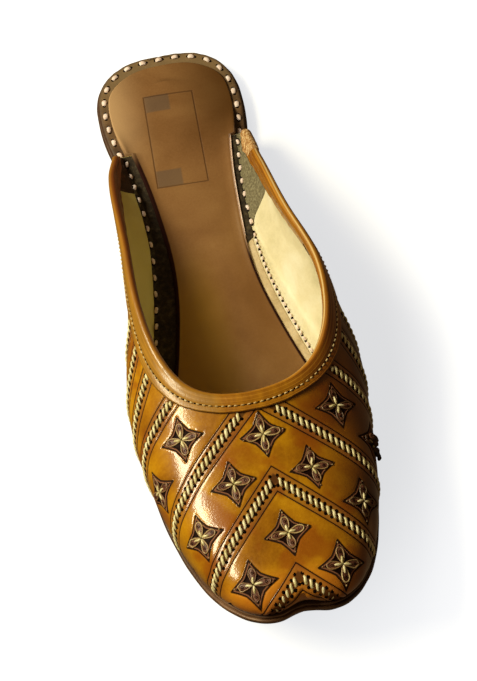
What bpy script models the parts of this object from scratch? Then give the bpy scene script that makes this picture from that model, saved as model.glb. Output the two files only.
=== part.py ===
"""Khussa: a flat, open-backed leather mule with a turned-up toe. One shoe, worn on either foot.

Metres, +Z up, toe towards -Y, origin on the ground under the middle of the shoe.
Rows and named sizes are in millimetres. A station is the distance from the back of the heel along the shoe.
An offset is the distance from its middle line, positive to the left as the shoe is seen from its toe.
"""
import math
from collections import namedtuple

import bpy
import bmesh
import numpy as np

MM = 0.001

# Driving sizes, mm
LENGTH = 255.0            # back of the heel to the tip of the toe
HEEL_HALF = 30.2          # widest half-width of the heel seat
HEEL_STATION = 28.6       # where the heel seat is widest
BALL_HALF = 41.4          # half-width across the ball
BALL_STATION = 174.0      # where the ball is widest
SOLE_THICK = 5.8          # both layers of the sole
LOWER_LAYER = 3.6         # the layer that meets the ground
LAYER_STEP = 0.9          # how far the upper layer stands in from the lower one
TOE_SPRING = 26.0         # lift of the tip of the toe
SPRING_STATION = 185.0    # where the sole leaves the ground
ARCH_LIFT = 1.2           # lift of the waist
ARCH_BACK = 54.0
ARCH_FRONT = 118.0
NOTCH_DEPTH = 3.2         # dent in the tip of the toe
NOTCH_HALF = 7.0
NOTCH_REACH = 16.0        # how far back from the tip, and how far up the toe, the dent fades out
WALL = 1.8                # leather and lining of the upper
FOOT_RADIUS = 2.2         # how the wall rolls in onto the sole
BACK_END = 50.0           # station where the upper starts
SOCK_THICK = 2.6
SOCK_RIM = 5.2            # sole left bare around the heel seat, for the seam
BINDING_THICK = 0.9
BINDING_WIDTH = 5.0       # how far the binding comes down each face of the wall
BINDING_SHARE = 0.7       # most of a short rib that it may cover
GAP = 0.3                 # between pieces that touch
BINDING_GAP = 0.45        # the binding bridges the wall's curve
CURVE_SAMPLES = 1600      # along a curve whose length is measured

HEEL_SQUARE = (0.72, 0.80)   # powers of the heel's and the toe's round ends, across and along
TOE_SQUARE = (0.68, 1.20)

Width = namedtuple("Width", "station half")
SOLE_SIDE = [
    Width(HEEL_STATION, HEEL_HALF),
    Width(52.0, 27.0),
    Width(70.0, 22.9),
    Width(86.0, 21.8),
    Width(104.0, 24.2),
    Width(130.0, 30.9),
    Width(150.0, 37.2),
    Width(BALL_STATION, BALL_HALF),
]

Inset = namedtuple("Inset", "station inset")
UPPER_INSET = [Inset(28.0, 0.3), Inset(50.0, 0.3), Inset(95.0, 0.4), Inset(130.0, 1.2), Inset(180.0, 1.8),
               Inset(225.0, 2.3), Inset(255.0, 2.6)]
SOCK_INSET = [Inset(28.0, 8.4), Inset(50.0, 8.3), Inset(66.0, 6.9), Inset(84.0, 6.4), Inset(104.0, 9.0),
              Inset(130.0, 12.0), Inset(155.0, 13.6), Inset(180.0, 11.4), Inset(215.0, 9.0),
              Inset(255.0, 9.5)]

# A rib of the upper runs from its foot on the sole to the collar. foot is the share of the way from the
# back end to the tip of the toe. left and right are the collar's offsets. facing turns the rib's outward
# side from straight out, 0, to straight ahead, 90. lean and low shape the rib above its foot, slope and
# high below the collar.
Rib = namedtuple("Rib", "foot station left right height facing lean low slope high")
RIBS = [
    Rib(0.000, 50.0, 27.3, 27.0, 10.0, 0.0, 5.0, 1.3, 92.0, 1.3),
    Rib(0.080, 68.5, 30.0, 29.4, 19.0, 0.0, 33.0, 4.5, 98.0, 4.0),
    Rib(0.160, 88.0, 30.7, 30.8, 27.5, 0.0, 38.0, 9.0, 92.0, 8.0),
    Rib(0.250, 107.5, 31.1, 32.2, 34.0, 0.0, 36.0, 12.0, 84.0, 11.0),
    Rib(0.350, 127.5, 32.4, 35.2, 38.3, 0.0, 31.0, 14.0, 77.0, 14.0),
    Rib(0.470, 147.5, 31.6, 34.6, 41.0, 4.0, 21.0, 17.0, 63.0, 16.0),
    Rib(0.610, 164.8, 27.1, 29.0, 42.4, 17.0, 13.0, 17.5, 42.0, 19.0),
    Rib(0.800, 175.8, 16.8, 17.3, 43.6, 46.0, 7.0, 16.5, 24.0, 30.0),
    Rib(1.000, 179.8, 0.0, 0.0, 44.8, 90.0, 4.0, 13.0, 14.0, 45.0),
]


def smooth_curve(positions, values, flat_ends=False):
    """A cubic spline through the values, as a function of position."""
    at = np.asarray(positions, float)
    val = np.asarray(values, float)
    gap = np.diff(at)
    rise = np.diff(val) / gap
    count = len(at)
    matrix = np.eye(count)
    right = np.zeros(count)
    for i in range(1, count - 1):
        matrix[i, i - 1:i + 2] = gap[i - 1], 2 * (gap[i - 1] + gap[i]), gap[i]
        right[i] = 6 * (rise[i] - rise[i - 1])
    if flat_ends:
        matrix[0, :2] = 2 * gap[0], gap[0]
        matrix[-1, -2:] = gap[-1], 2 * gap[-1]
        right[0] = 6 * rise[0]
        right[-1] = -6 * rise[-1]
    bend = np.linalg.solve(matrix, right)

    def value(x):
        x = np.clip(np.asarray(x, float), at[0], at[-1])
        i = np.clip(np.searchsorted(at, x) - 1, 0, count - 2)
        a = (at[i + 1] - x) / gap[i]
        b = 1 - a
        curved = ((a ** 3 - a) * bend[i] + (b ** 3 - b) * bend[i + 1]) * gap[i] ** 2 / 6
        return a * val[i] + b * val[i + 1] + curved

    return value


def ease(x):
    """0 below 0, 1 above 1, and a smooth step between."""
    x = np.clip(x, 0.0, 1.0)
    return x * x * (3 - 2 * x)


side_half = smooth_curve([w.station for w in SOLE_SIDE], [w.half for w in SOLE_SIDE], flat_ends=True)
upper_inset = smooth_curve([i.station for i in UPPER_INSET], [i.inset for i in UPPER_INSET])
sock_inset = smooth_curve([i.station for i in SOCK_INSET], [i.inset for i in SOCK_INSET])


def ground(station):
    """Height of the sole's underside: flat at heel and ball, lifted at the waist and the toe."""
    waist = np.clip((station - ARCH_BACK) / (ARCH_FRONT - ARCH_BACK), 0.0, 1.0)
    toe = np.maximum(0.0, station - SPRING_STATION) / (LENGTH - SPRING_STATION)
    return ARCH_LIFT * np.sin(math.pi * waist) ** 2 + TOE_SPRING * toe ** 2


def sole_top(station):
    return ground(station) + SOLE_THICK


def sole_slope(station):
    """How steeply the sole rises at the toe."""
    return 2 * TOE_SPRING * np.maximum(0.0, station - SPRING_STATION) / (LENGTH - SPRING_STATION) ** 2


def edge(q, inset):
    """Offset and station of the half outline at q: -1 back of the heel, 0 widest heel, 1 ball, 2 tip."""
    q = np.asarray(q, float)
    inset = np.broadcast_to(np.asarray(inset, float), q.shape)
    heel = 0.5 * math.pi * np.clip(q + 1, 0, 1) ** (1 / HEEL_SQUARE[0])
    toe = 0.5 * math.pi * np.clip(2 - q, 0, 1) ** (1 / TOE_SQUARE[0])
    station = HEEL_STATION + (BALL_STATION - HEEL_STATION) * np.clip(q, 0, 1)
    offset = side_half(station) - inset
    heel_offset = (HEEL_HALF - inset) * np.sin(heel) ** HEEL_SQUARE[0]
    heel_station = HEEL_STATION - (HEEL_STATION - inset) * np.abs(np.cos(heel)) ** HEEL_SQUARE[1]
    toe_offset = (BALL_HALF - inset) * np.sin(toe) ** TOE_SQUARE[0]
    reach = LENGTH - BALL_STATION - inset
    toe_station = BALL_STATION + reach * np.abs(np.cos(toe)) ** TOE_SQUARE[1]
    offset = np.where(q < 0, heel_offset, np.where(q > 1, toe_offset, offset))
    station = np.where(q < 0, heel_station, np.where(q > 1, toe_station, station))
    return offset, station


def edge_station(q):
    """Station of the sole's own outline at q."""
    return edge(q, 0.0)[1]


def notch(offset, station, above=0.0):
    """How far the dent at the tip of the toe pushes a point back."""
    near = ease((station - (LENGTH - NOTCH_REACH)) / NOTCH_REACH)
    low = 1 - ease(above / NOTCH_REACH)
    return NOTCH_DEPTH * np.exp(-(offset / NOTCH_HALF) ** 2) * near * low


def place(offset, station, height):
    """A point of the shoe in the part's frame, in metres."""
    return np.stack([-offset, LENGTH / 2 - station, height], axis=-1) * MM


def even_steps(start, end, inset, count):
    """Values of q that lie evenly along an outline."""
    q = np.linspace(start, end, CURVE_SAMPLES)
    offset, station = edge(q, inset(edge_station(q)) if callable(inset) else inset)
    length = np.concatenate([[0], np.cumsum(np.hypot(np.diff(offset), np.diff(station)))])
    return np.interp(np.linspace(0, length[-1], count), length, q)


# --- the upper's surface -------------------------------------------------------------------------------

SIDE_RUN = BALL_STATION - HEEL_STATION   # mm of the outline for which q goes from 0 to 1
BACK_Q = (BACK_END - HEEL_STATION) / SIDE_RUN


def full_ribs(name, sign=1.0, turn=0.0):
    """One column of the rib rows, from the left back end round the toe to the right back end."""
    half = [getattr(r, name) for r in RIBS]
    return np.array(half + [turn + sign * v for v in half[-2::-1]])


def rib_columns():
    places = np.arange(2 * len(RIBS) - 1) / (len(RIBS) - 1)
    left = [r.left for r in RIBS]
    right = [-r.right for r in RIBS]
    columns = {
        "foot": full_ribs("foot", -1.0, 2.0),
        "station": full_ribs("station"),
        "offset": np.array(left + right[-2::-1]),
        "height": full_ribs("height"),
        "facing": full_ribs("facing", -1.0, 180.0),
        "lean": full_ribs("lean"),
        "low": full_ribs("low"),
        "slope": full_ribs("slope"),
        "high": full_ribs("high"),
    }
    return {name: smooth_curve(places, values) for name, values in columns.items()}


RIB_AT = rib_columns()


def foot_q(share):
    """q on the outline, and the side, for a share 0 to 2 of the way round the upper's foot."""
    q = np.linspace(BACK_Q, 2.0, CURVE_SAMPLES)
    offset, station = edge(q, upper_inset(edge_station(q)))
    length = np.concatenate([[0], np.cumsum(np.hypot(np.diff(offset), np.diff(station)))])
    side = np.where(share <= 1, 1.0, -1.0)
    share = np.where(share <= 1, share, 2 - share)
    return np.interp(share * length[-1], length, q), side


def rib_points(u):
    """The four handles of the rib at u, 0 to 2 from the left back end to the right one."""
    q, side = foot_q(RIB_AT["foot"](u))
    offset, station = edge(q, upper_inset(edge_station(q)))
    offset = offset * side
    facing = np.radians(RIB_AT["facing"](u))
    out = np.stack([np.cos(facing), np.sin(facing), 0 * facing], axis=-1)
    up = np.array([0.0, 0.0, 1.0])
    foot = np.stack([offset, station, sole_top(station) + GAP + FOOT_RADIUS], axis=-1)
    collar = np.stack([RIB_AT["offset"](u), RIB_AT["station"](u), RIB_AT["height"](u)], axis=-1)
    lean = np.radians(RIB_AT["lean"](u))[..., None]
    slope = np.radians(RIB_AT["slope"](u))[..., None]
    low = RIB_AT["low"](u)[..., None]
    high = RIB_AT["high"](u)[..., None]
    return foot, foot + low * (np.sin(lean) * out + np.cos(lean) * up), \
        collar + high * (np.cos(slope) * out - np.sin(slope) * up), collar


def wall_point(u, v):
    """The upper's outer face, as offset, station and height, from its foot, v 0, to the collar, v 1."""
    foot, lower, higher, collar = rib_points(u)
    v = np.asarray(v, float)[..., None]
    w = 1 - v
    point = w ** 3 * foot + 3 * w ** 2 * v * lower + 3 * w * v ** 2 * higher + v ** 3 * collar
    dent = notch(point[..., 0], point[..., 1], point[..., 2] - sole_top(point[..., 1]))
    point[..., 1] -= dent
    return point


def wall_frame(u, v):
    """A point of the wall, its outward normal, and the direction down the rib."""
    step = 1e-3
    point = wall_point(u, v)
    along = wall_point(np.minimum(u + step, 2.0), v) - wall_point(np.maximum(u - step, 0.0), v)
    down = wall_point(u, np.maximum(v - step, 0.0)) - wall_point(u, np.minimum(v + step, 1.0))
    normal = np.cross(down, along)
    normal /= np.linalg.norm(normal, axis=-1, keepdims=True)
    down /= np.linalg.norm(down, axis=-1, keepdims=True)
    return point, normal, down


def below_collar(u, depth):
    """v at a depth below the collar, less where the rib is short."""
    v = np.linspace(1.0, 0.0, CURVE_SAMPLES // 8)
    rib = wall_point(np.full(v.shape, u), v)
    length = np.concatenate([[0], np.cumsum(np.linalg.norm(np.diff(rib, axis=0), axis=1))])
    room = min(1.0, BINDING_SHARE * length[-1] / BINDING_WIDTH)
    return float(np.interp(depth * room, length, v))


# --- build ---------------------------------------------------------------------------------------------

COLUMNS = 72              # across the upper, from one back end to the other
FLANGE_ROWS = 2
CORNER_ROWS = 3
WALL_ROWS = 12
SOLE_ROWS = 56
SEAT_ROWS = 18            # of the sock behind its step, and ahead of it
FRONT_ROWS = 34
CAP_CELLS = 4             # across the faces of sole and sock
FOLD_STEPS = 3            # round the binding's fold
SHARP_ANGLE = math.radians(40)

Level = namedtuple("Level", "inset height")
SOLE_LEVELS = [
    Level(0.9, 0.0),
    Level(0.0, 0.7),
    Level(0.0, LOWER_LAYER - 0.3),
    Level(0.3, LOWER_LAYER),
    Level(LAYER_STEP, LOWER_LAYER),
    Level(LAYER_STEP, SOLE_THICK - 0.4),
    Level(LAYER_STEP + 0.4, SOLE_THICK),
]
SOCK_HEEL_EDGE = 1.5      # the sock is skived thin at the heel seat
SOCK_SIDE_EDGE = 2.1
SOCK_SKIVE = 2.0
SOCK_BEVEL = 0.4          # under its edge
SOCK_STEP = 0.6           # along the shoe, where it steps in for the upper
FLANGE_ROOM = 0.4         # between the upper's turned-in margin and the sock


def clear_scene():
    for obj in list(bpy.data.objects):
        bpy.data.objects.remove(obj, do_unlink=True)


def leather(name, colour, roughness):
    material = bpy.data.materials.new(name)
    material.use_nodes = True
    shader = material.node_tree.nodes["Principled BSDF"]
    shader.inputs["Base Color"].default_value = (*colour, 1.0)
    shader.inputs["Roughness"].default_value = roughness
    return material


def add_object(name, points, faces, material, collection):
    """An object from offset, station and height rows; its faces are made to point outwards."""
    points = np.asarray(points, float)
    mesh = bpy.data.meshes.new(name)
    mesh.from_pydata(place(points[:, 0], points[:, 1], points[:, 2]).tolist(), [], faces)
    mesh.materials.append(material)
    shaped = bmesh.new()
    shaped.from_mesh(mesh)
    bmesh.ops.remove_doubles(shaped, verts=shaped.verts, dist=1e-6)
    bmesh.ops.recalc_face_normals(shaped, faces=shaped.faces)
    shaped.to_mesh(mesh)
    shaped.free()
    obj = bpy.data.objects.new(name, mesh)
    collection.objects.link(obj)
    for polygon in mesh.polygons:
        polygon.use_smooth = True
    mesh.set_sharp_from_angle(angle=SHARP_ANGLE)
    return obj


def slab(q, inset, levels):
    """A flat piece within the outline at q: a ring for each level, with the first and last filled.

    Each level gives, for every row, a further inset and a height above the sole's underside."""
    rows = len(q)
    points, faces, rings = [], [], []
    for extra, height in levels:
        offset, station = edge(q, inset + extra)
        station = station - notch(offset, station)
        level = ground(station) + height
        left = np.stack([offset, station, level], axis=1)
        right = np.stack([-offset, station, level], axis=1)[-2:0:-1]
        rings.append(range(len(points), len(points) + 2 * rows - 2))
        points.extend(np.concatenate([left, right]).tolist())
    for low, high in zip(rings, rings[1:]):
        for i in range(len(low)):
            j = (i + 1) % len(low)
            faces.append((low[i], low[j], high[j], high[i]))
    for ring, (extra, height) in ((rings[0], levels[0]), (rings[-1], levels[-1])):
        height = np.broadcast_to(height, q.shape)
        lines = []
        for row in range(rows):
            ends = ring[row], ring[-row] if row else ring[0]
            line = [ends[0]]
            if 0 < row < rows - 1:
                half, station = edge(q[row:row + 1], inset[row] + np.broadcast_to(extra, q.shape)[row])
                for cell in range(1, CAP_CELLS):
                    offset = float(half[0]) * (1 - 2 * cell / CAP_CELLS)
                    back = float(station[0]) - float(notch(offset, station[0]))
                    line.append(len(points))
                    points.append([offset, back, float(ground(back)) + float(height[row])])
                line.append(ends[1])
            lines.append(line)
        for row in range(rows - 1):
            near, far = lines[row], lines[row + 1]
            for cell in range(CAP_CELLS):
                a, b = near[min(cell, len(near) - 1)], near[min(cell + 1, len(near) - 1)]
                c, d = far[min(cell + 1, len(far) - 1)], far[min(cell, len(far) - 1)]
                corners = []
                for corner in (a, b, c, d):
                    if corner not in corners:
                        corners.append(corner)
                faces.append(tuple(corners))
    return points, faces


def make_outsole(material, collection):
    q = even_steps(-1.0, 2.0, 0.0, SOLE_ROWS)
    points, faces = slab(q, np.zeros(q.shape), SOLE_LEVELS)
    return add_object("outsole", points, faces, material, collection)


def make_insole(material, collection):
    """The sock: it leaves the heel seat's rim bare, and steps in just behind the upper's back ends."""
    step_q = BACK_Q - GAP / SIDE_RUN
    seat = even_steps(-1.0, step_q - SOCK_STEP / SIDE_RUN, SOCK_RIM, SEAT_ROWS)
    front = even_steps(step_q, 2.0, sock_inset, FRONT_ROWS)
    q = np.concatenate([seat, front])
    inset = np.concatenate([np.full(seat.shape, SOCK_RIM), sock_inset(edge_station(front))])
    edge_height = np.where(q < step_q, SOCK_HEEL_EDGE, SOCK_SIDE_EDGE)
    base = SOLE_THICK + GAP
    levels = [Level(SOCK_BEVEL, base), Level(0.0, base + SOCK_BEVEL), Level(0.0, base + edge_height),
              Level(SOCK_SKIVE, base + SOCK_THICK)]
    points, faces = slab(q, inset, levels)
    return add_object("insole", points, faces, material, collection)


def upper_rows(u):
    """The open surface of the upper at one column: flange, rolled corner and wall, inside to collar."""
    q, side = foot_q(RIB_AT["foot"](u))
    room = FLANGE_ROOM + WALL * sole_slope(edge_station(q))
    inner_offset, inner_station = edge(q, sock_inset(edge_station(q)) - room)
    inner = np.array([inner_offset * side, inner_station])
    foot_offset, foot_station = edge(q, upper_inset(edge_station(q)))
    foot = np.array([foot_offset * side, foot_station])
    inward = (inner - foot) / np.linalg.norm(inner - foot)
    turn = foot + inward * FOOT_RADIUS
    flat = [inner + (turn - inner) * i / FLANGE_ROWS for i in range(FLANGE_ROWS)]
    heights = [GAP] * FLANGE_ROWS
    for i in range(CORNER_ROWS):
        angle = 0.5 * math.pi * i / CORNER_ROWS
        flat.append(turn - inward * FOOT_RADIUS * math.sin(angle))
        heights.append(GAP + FOOT_RADIUS * (1 - math.cos(angle)))
    flat = np.array(flat)
    heights = np.array(heights)
    top = sole_top(flat[:, 1])
    flat[:, 1] -= notch(flat[:, 0], flat[:, 1], heights)
    lower = np.column_stack([flat, top + heights])
    wall = wall_point(np.full(WALL_ROWS + 1, u), np.linspace(0, 1, WALL_ROWS + 1))
    return np.concatenate([lower, wall])


def make_upper(material, collection):
    columns = [upper_rows(u) for u in np.linspace(0.0, 2.0, COLUMNS + 1)]
    rows = len(columns[0])
    points = np.concatenate(columns)
    faces = []
    for i in range(COLUMNS):
        for j in range(rows - 1):
            a = i * rows + j
            faces.append((a, a + 1, a + rows + 1, a + rows))
    upper = add_object("upper", points, faces, material, collection)
    vamp = upper.data.polygons[(COLUMNS // 2) * (rows - 1) + rows - 3]
    if vamp.normal.z < 0:
        upper.data.flip_normals()
    shell = upper.modifiers.new("wall", "SOLIDIFY")
    shell.thickness = WALL * MM
    shell.offset = -1.0
    shell.use_even_offset = True
    return upper


def binding_section(u):
    """The folded strip round the collar at one column: outer face over the edge, then back inside it."""
    edge_point, edge_normal, edge_down = wall_frame(u, 1.0)
    middle = edge_point - edge_normal * WALL / 2
    legs = [wall_frame(u, below_collar(u, depth)) for depth in (BINDING_WIDTH, BINDING_WIDTH / 2)]
    section = []
    for reach, order in ((WALL / 2 + BINDING_GAP + BINDING_THICK, 1), (WALL / 2 + BINDING_GAP, -1)):
        face = [point - normal * (WALL / 2 - reach) for point, normal, _ in legs]
        for i in range(FOLD_STEPS + 1):
            angle = math.pi * i / FOLD_STEPS
            face.append(middle + edge_normal * reach * math.cos(angle) - edge_down * reach * math.sin(angle))
        face += [point - normal * (WALL / 2 + reach) for point, normal, _ in legs[::-1]]
        section += face[::order]
    return section


def make_binding(material, collection):
    points, faces = [], []
    for u in np.linspace(0.0, 2.0, COLUMNS + 1):
        points.extend(binding_section(u))
    count = len(points) // (COLUMNS + 1)
    for i in range(COLUMNS):
        for j in range(count):
            k = (j + 1) % count
            faces.append((i * count + j, i * count + k, (i + 1) * count + k, (i + 1) * count + j))
    half = count // 2
    for end in (0, COLUMNS * count):
        for j in range(half - 1):
            faces.append((end + j, end + j + 1, end + count - 2 - j, end + count - 1 - j))
    return add_object("collar_binding", points, faces, material, collection)


def main():
    clear_scene()
    shoe = bpy.data.collections.new("khussa")
    bpy.context.scene.collection.children.link(shoe)
    make_outsole(leather("sole leather", (0.060, 0.026, 0.010), 0.55), shoe)
    make_insole(leather("sock leather", (0.300, 0.150, 0.066), 0.55), shoe)
    make_upper(leather("upper leather", (0.500, 0.200, 0.020), 0.32), shoe)
    make_binding(leather("binding leather", (0.550, 0.210, 0.020), 0.35), shoe)


main()
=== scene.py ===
"""The looks of a khussa, a flat open-backed leather shoe with a turned-up toe.

A burnished shell with tooled lines, laced braids and punched stars; a folded strip sewn round the collar;
a cream lining sewn down beside a brown sock; and a stacked sole sewn round its heel.

Shapes are worked out in the shoe's own millimetres: a station runs along the shoe from the back of the heel,
an offset across it from the middle line, positive to the left as seen from the toe, and a height up from
the ground. place() turns them into the frame's metres.
"""
import math
from collections import namedtuple

import bmesh
import bpy
import numpy as np
from mathutils import Matrix, Vector
from mathutils.bvhtree import BVHTree
from mathutils.kdtree import KDTree


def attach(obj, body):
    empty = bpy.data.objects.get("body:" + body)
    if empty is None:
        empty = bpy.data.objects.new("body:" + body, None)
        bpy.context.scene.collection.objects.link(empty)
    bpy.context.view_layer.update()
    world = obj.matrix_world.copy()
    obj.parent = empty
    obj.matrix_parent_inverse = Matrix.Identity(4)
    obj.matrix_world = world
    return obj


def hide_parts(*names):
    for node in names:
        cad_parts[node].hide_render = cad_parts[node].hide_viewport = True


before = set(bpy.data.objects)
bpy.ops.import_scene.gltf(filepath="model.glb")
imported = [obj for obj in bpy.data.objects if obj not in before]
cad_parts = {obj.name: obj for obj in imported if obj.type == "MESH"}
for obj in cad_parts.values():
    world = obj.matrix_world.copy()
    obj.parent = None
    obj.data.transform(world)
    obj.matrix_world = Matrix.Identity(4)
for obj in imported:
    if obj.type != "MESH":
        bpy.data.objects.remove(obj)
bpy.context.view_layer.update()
MM = 0.001                # metres in a millimetre
UP = np.array([0.0, 0.0, 1.0])
AHEAD = np.array([0.0, 1.0, 0.0])

# --- the shoe's shape, the same as the solids', in mm ---------------------------------------------------

LENGTH = 255.0
HEEL_HALF, HEEL_STATION = 30.2, 28.6
BALL_HALF, BALL_STATION = 41.4, 174.0
SOLE_THICK, LOWER_LAYER, LAYER_STEP = 5.8, 3.6, 0.9
TOE_SPRING, SPRING_STATION = 26.0, 185.0
ARCH_LIFT, ARCH_BACK, ARCH_FRONT = 1.2, 54.0, 118.0
NOTCH_DEPTH, NOTCH_HALF, NOTCH_REACH = 3.2, 7.0, 16.0
WALL = 1.8
FOOT_RADIUS = 2.2
BACK_END = 50.0
GAP = 0.3
HEEL_SQUARE = (0.72, 0.80)
TOE_SQUARE = (0.68, 1.20)
CURVE_SAMPLES = 1600

# Half the sole's width along its waist, from the heel to the ball.
Width = namedtuple("Width", "station half")
SOLE_SIDE = [Width(HEEL_STATION, HEEL_HALF), Width(52.0, 27.0), Width(70.0, 22.9), Width(86.0, 21.8),
             Width(104.0, 24.2), Width(130.0, 30.9), Width(150.0, 37.2), Width(BALL_STATION, BALL_HALF)]

# How far the upper's foot and the sock's edge lie in from the sole's edge.
Inset = namedtuple("Inset", "station inset")
UPPER_INSET = [Inset(28.0, 0.3), Inset(50.0, 0.3), Inset(95.0, 0.4), Inset(130.0, 1.2), Inset(180.0, 1.8),
               Inset(225.0, 2.3), Inset(255.0, 2.6)]
SOCK_INSET = [Inset(28.0, 8.4), Inset(50.0, 8.3), Inset(66.0, 6.9), Inset(84.0, 6.4), Inset(104.0, 9.0),
              Inset(130.0, 12.0), Inset(155.0, 13.6), Inset(180.0, 11.4), Inset(215.0, 9.0),
              Inset(255.0, 9.5)]

# Ribs of the upper's wall on its left half, from the back end to the throat. foot is the share along the
# wall's foot where a rib stands; station, left, right and height are the collar's there; facing is the way
# that it faces, in degrees. A rib leaves its foot at lean degrees from upright, with a handle low mm long,
# and comes to the collar at slope degrees from flat, with a handle high mm long.
Rib = namedtuple("Rib", "foot station left right height facing lean low slope high")
RIBS = [
    Rib(0.000, 50.0, 27.3, 27.0, 10.0, 0.0, 5.0, 1.3, 92.0, 1.3),
    Rib(0.080, 68.5, 30.0, 29.4, 19.0, 0.0, 33.0, 4.5, 98.0, 4.0),
    Rib(0.160, 88.0, 30.7, 30.8, 27.5, 0.0, 38.0, 9.0, 92.0, 8.0),
    Rib(0.250, 107.5, 31.1, 32.2, 34.0, 0.0, 36.0, 12.0, 84.0, 11.0),
    Rib(0.350, 127.5, 32.4, 35.2, 38.3, 0.0, 31.0, 14.0, 77.0, 14.0),
    Rib(0.470, 147.5, 31.6, 34.6, 41.0, 4.0, 21.0, 17.0, 63.0, 16.0),
    Rib(0.610, 164.8, 27.1, 29.0, 42.4, 17.0, 13.0, 17.5, 42.0, 19.0),
    Rib(0.800, 175.8, 16.8, 17.3, 43.6, 46.0, 7.0, 16.5, 24.0, 30.0),
    Rib(1.000, 179.8, 0.0, 0.0, 44.8, 90.0, 4.0, 13.0, 14.0, 45.0),
]


def smooth_curve(positions, values, flat_ends=False):
    """A cubic spline through the values, as a function of position."""
    at = np.asarray(positions, float)
    val = np.asarray(values, float)
    gap = np.diff(at)
    rise = np.diff(val) / gap
    count = len(at)
    matrix = np.eye(count)
    right = np.zeros(count)
    for i in range(1, count - 1):
        matrix[i, i - 1:i + 2] = gap[i - 1], 2 * (gap[i - 1] + gap[i]), gap[i]
        right[i] = 6 * (rise[i] - rise[i - 1])
    if flat_ends:
        matrix[0, :2] = 2 * gap[0], gap[0]
        matrix[-1, -2:] = gap[-1], 2 * gap[-1]
        right[0] = 6 * rise[0]
        right[-1] = -6 * rise[-1]
    bend = np.linalg.solve(matrix, right)

    def value(x):
        """The spline's value at x, held at its first and last ones beyond its ends."""
        x = np.clip(np.asarray(x, float), at[0], at[-1])
        i = np.clip(np.searchsorted(at, x) - 1, 0, count - 2)
        a = (at[i + 1] - x) / gap[i]
        b = 1 - a
        curved = ((a ** 3 - a) * bend[i] + (b ** 3 - b) * bend[i + 1]) * gap[i] ** 2 / 6
        return a * val[i] + b * val[i + 1] + curved

    return value


def ease(x):
    """0 below 0, 1 above 1, and a smooth step between."""
    x = np.clip(x, 0.0, 1.0)
    return x * x * (3 - 2 * x)


side_half = smooth_curve([w.station for w in SOLE_SIDE], [w.half for w in SOLE_SIDE], flat_ends=True)
upper_inset = smooth_curve([i.station for i in UPPER_INSET], [i.inset for i in UPPER_INSET])
sock_inset = smooth_curve([i.station for i in SOCK_INSET], [i.inset for i in SOCK_INSET])


def ground(station):
    """Height of the sole's underside: flat at heel and ball, lifted at the waist and the toe."""
    waist = np.clip((station - ARCH_BACK) / (ARCH_FRONT - ARCH_BACK), 0.0, 1.0)
    toe = np.maximum(0.0, station - SPRING_STATION) / (LENGTH - SPRING_STATION)
    return ARCH_LIFT * np.sin(math.pi * waist) ** 2 + TOE_SPRING * toe ** 2


def sole_top(station):
    """Height of the sole's upper face."""
    return ground(station) + SOLE_THICK


def edge(q, inset):
    """Offset and station of the half outline at q: -1 back of the heel, 0 widest heel, 1 ball, 2 tip."""
    q = np.asarray(q, float)
    inset = np.broadcast_to(np.asarray(inset, float), q.shape)
    heel = 0.5 * math.pi * np.clip(q + 1, 0, 1) ** (1 / HEEL_SQUARE[0])
    toe = 0.5 * math.pi * np.clip(2 - q, 0, 1) ** (1 / TOE_SQUARE[0])
    station = HEEL_STATION + (BALL_STATION - HEEL_STATION) * np.clip(q, 0, 1)
    offset = side_half(station) - inset
    heel_offset = (HEEL_HALF - inset) * np.sin(heel) ** HEEL_SQUARE[0]
    heel_station = HEEL_STATION - (HEEL_STATION - inset) * np.abs(np.cos(heel)) ** HEEL_SQUARE[1]
    toe_offset = (BALL_HALF - inset) * np.sin(toe) ** TOE_SQUARE[0]
    reach = LENGTH - BALL_STATION - inset
    toe_station = BALL_STATION + reach * np.abs(np.cos(toe)) ** TOE_SQUARE[1]
    offset = np.where(q < 0, heel_offset, np.where(q > 1, toe_offset, offset))
    station = np.where(q < 0, heel_station, np.where(q > 1, toe_station, station))
    return offset, station


def edge_station(q):
    """Station of the sole's own outline at q."""
    return edge(q, 0.0)[1]


def notch(offset, station, above=0.0):
    """How far the dent at the tip of the toe pushes a point back."""
    near = ease((station - (LENGTH - NOTCH_REACH)) / NOTCH_REACH)
    low = 1 - ease(above / NOTCH_REACH)
    return NOTCH_DEPTH * np.exp(-(offset / NOTCH_HALF) ** 2) * near * low


def place(points):
    """Rows of offset, station and height in mm as points of the frame, in metres."""
    points = np.asarray(points, float)
    return np.stack([-points[..., 0], LENGTH / 2 - points[..., 1], points[..., 2]], axis=-1) * MM


def arc_lengths(line):
    """The length along a line up to each of its points."""
    return np.concatenate([[0], np.cumsum(np.linalg.norm(np.diff(line, axis=0), axis=1))])


def point_at(where, lengths, line):
    """The place on a line at a length along it."""
    return np.stack([np.interp(where, lengths, column) for column in np.transpose(line)], axis=-1)


def even_steps(start, end, inset, count):
    """Values of q that lie evenly along an outline."""
    q = np.linspace(start, end, CURVE_SAMPLES)
    line = np.stack(edge(q, inset(edge_station(q)) if callable(inset) else inset), axis=1)
    length = arc_lengths(line)
    return np.interp(np.linspace(0, length[-1], count), length, q)


BACK_Q = (BACK_END - HEEL_STATION) / (BALL_STATION - HEEL_STATION)


def full_ribs(name, sign=1.0, turn=0.0):
    """A column of the ribs' table, carried on to the right back end as turn + sign times the left's."""
    half = [getattr(r, name) for r in RIBS]
    return np.array(half + [turn + sign * v for v in half[-2::-1]])


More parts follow.
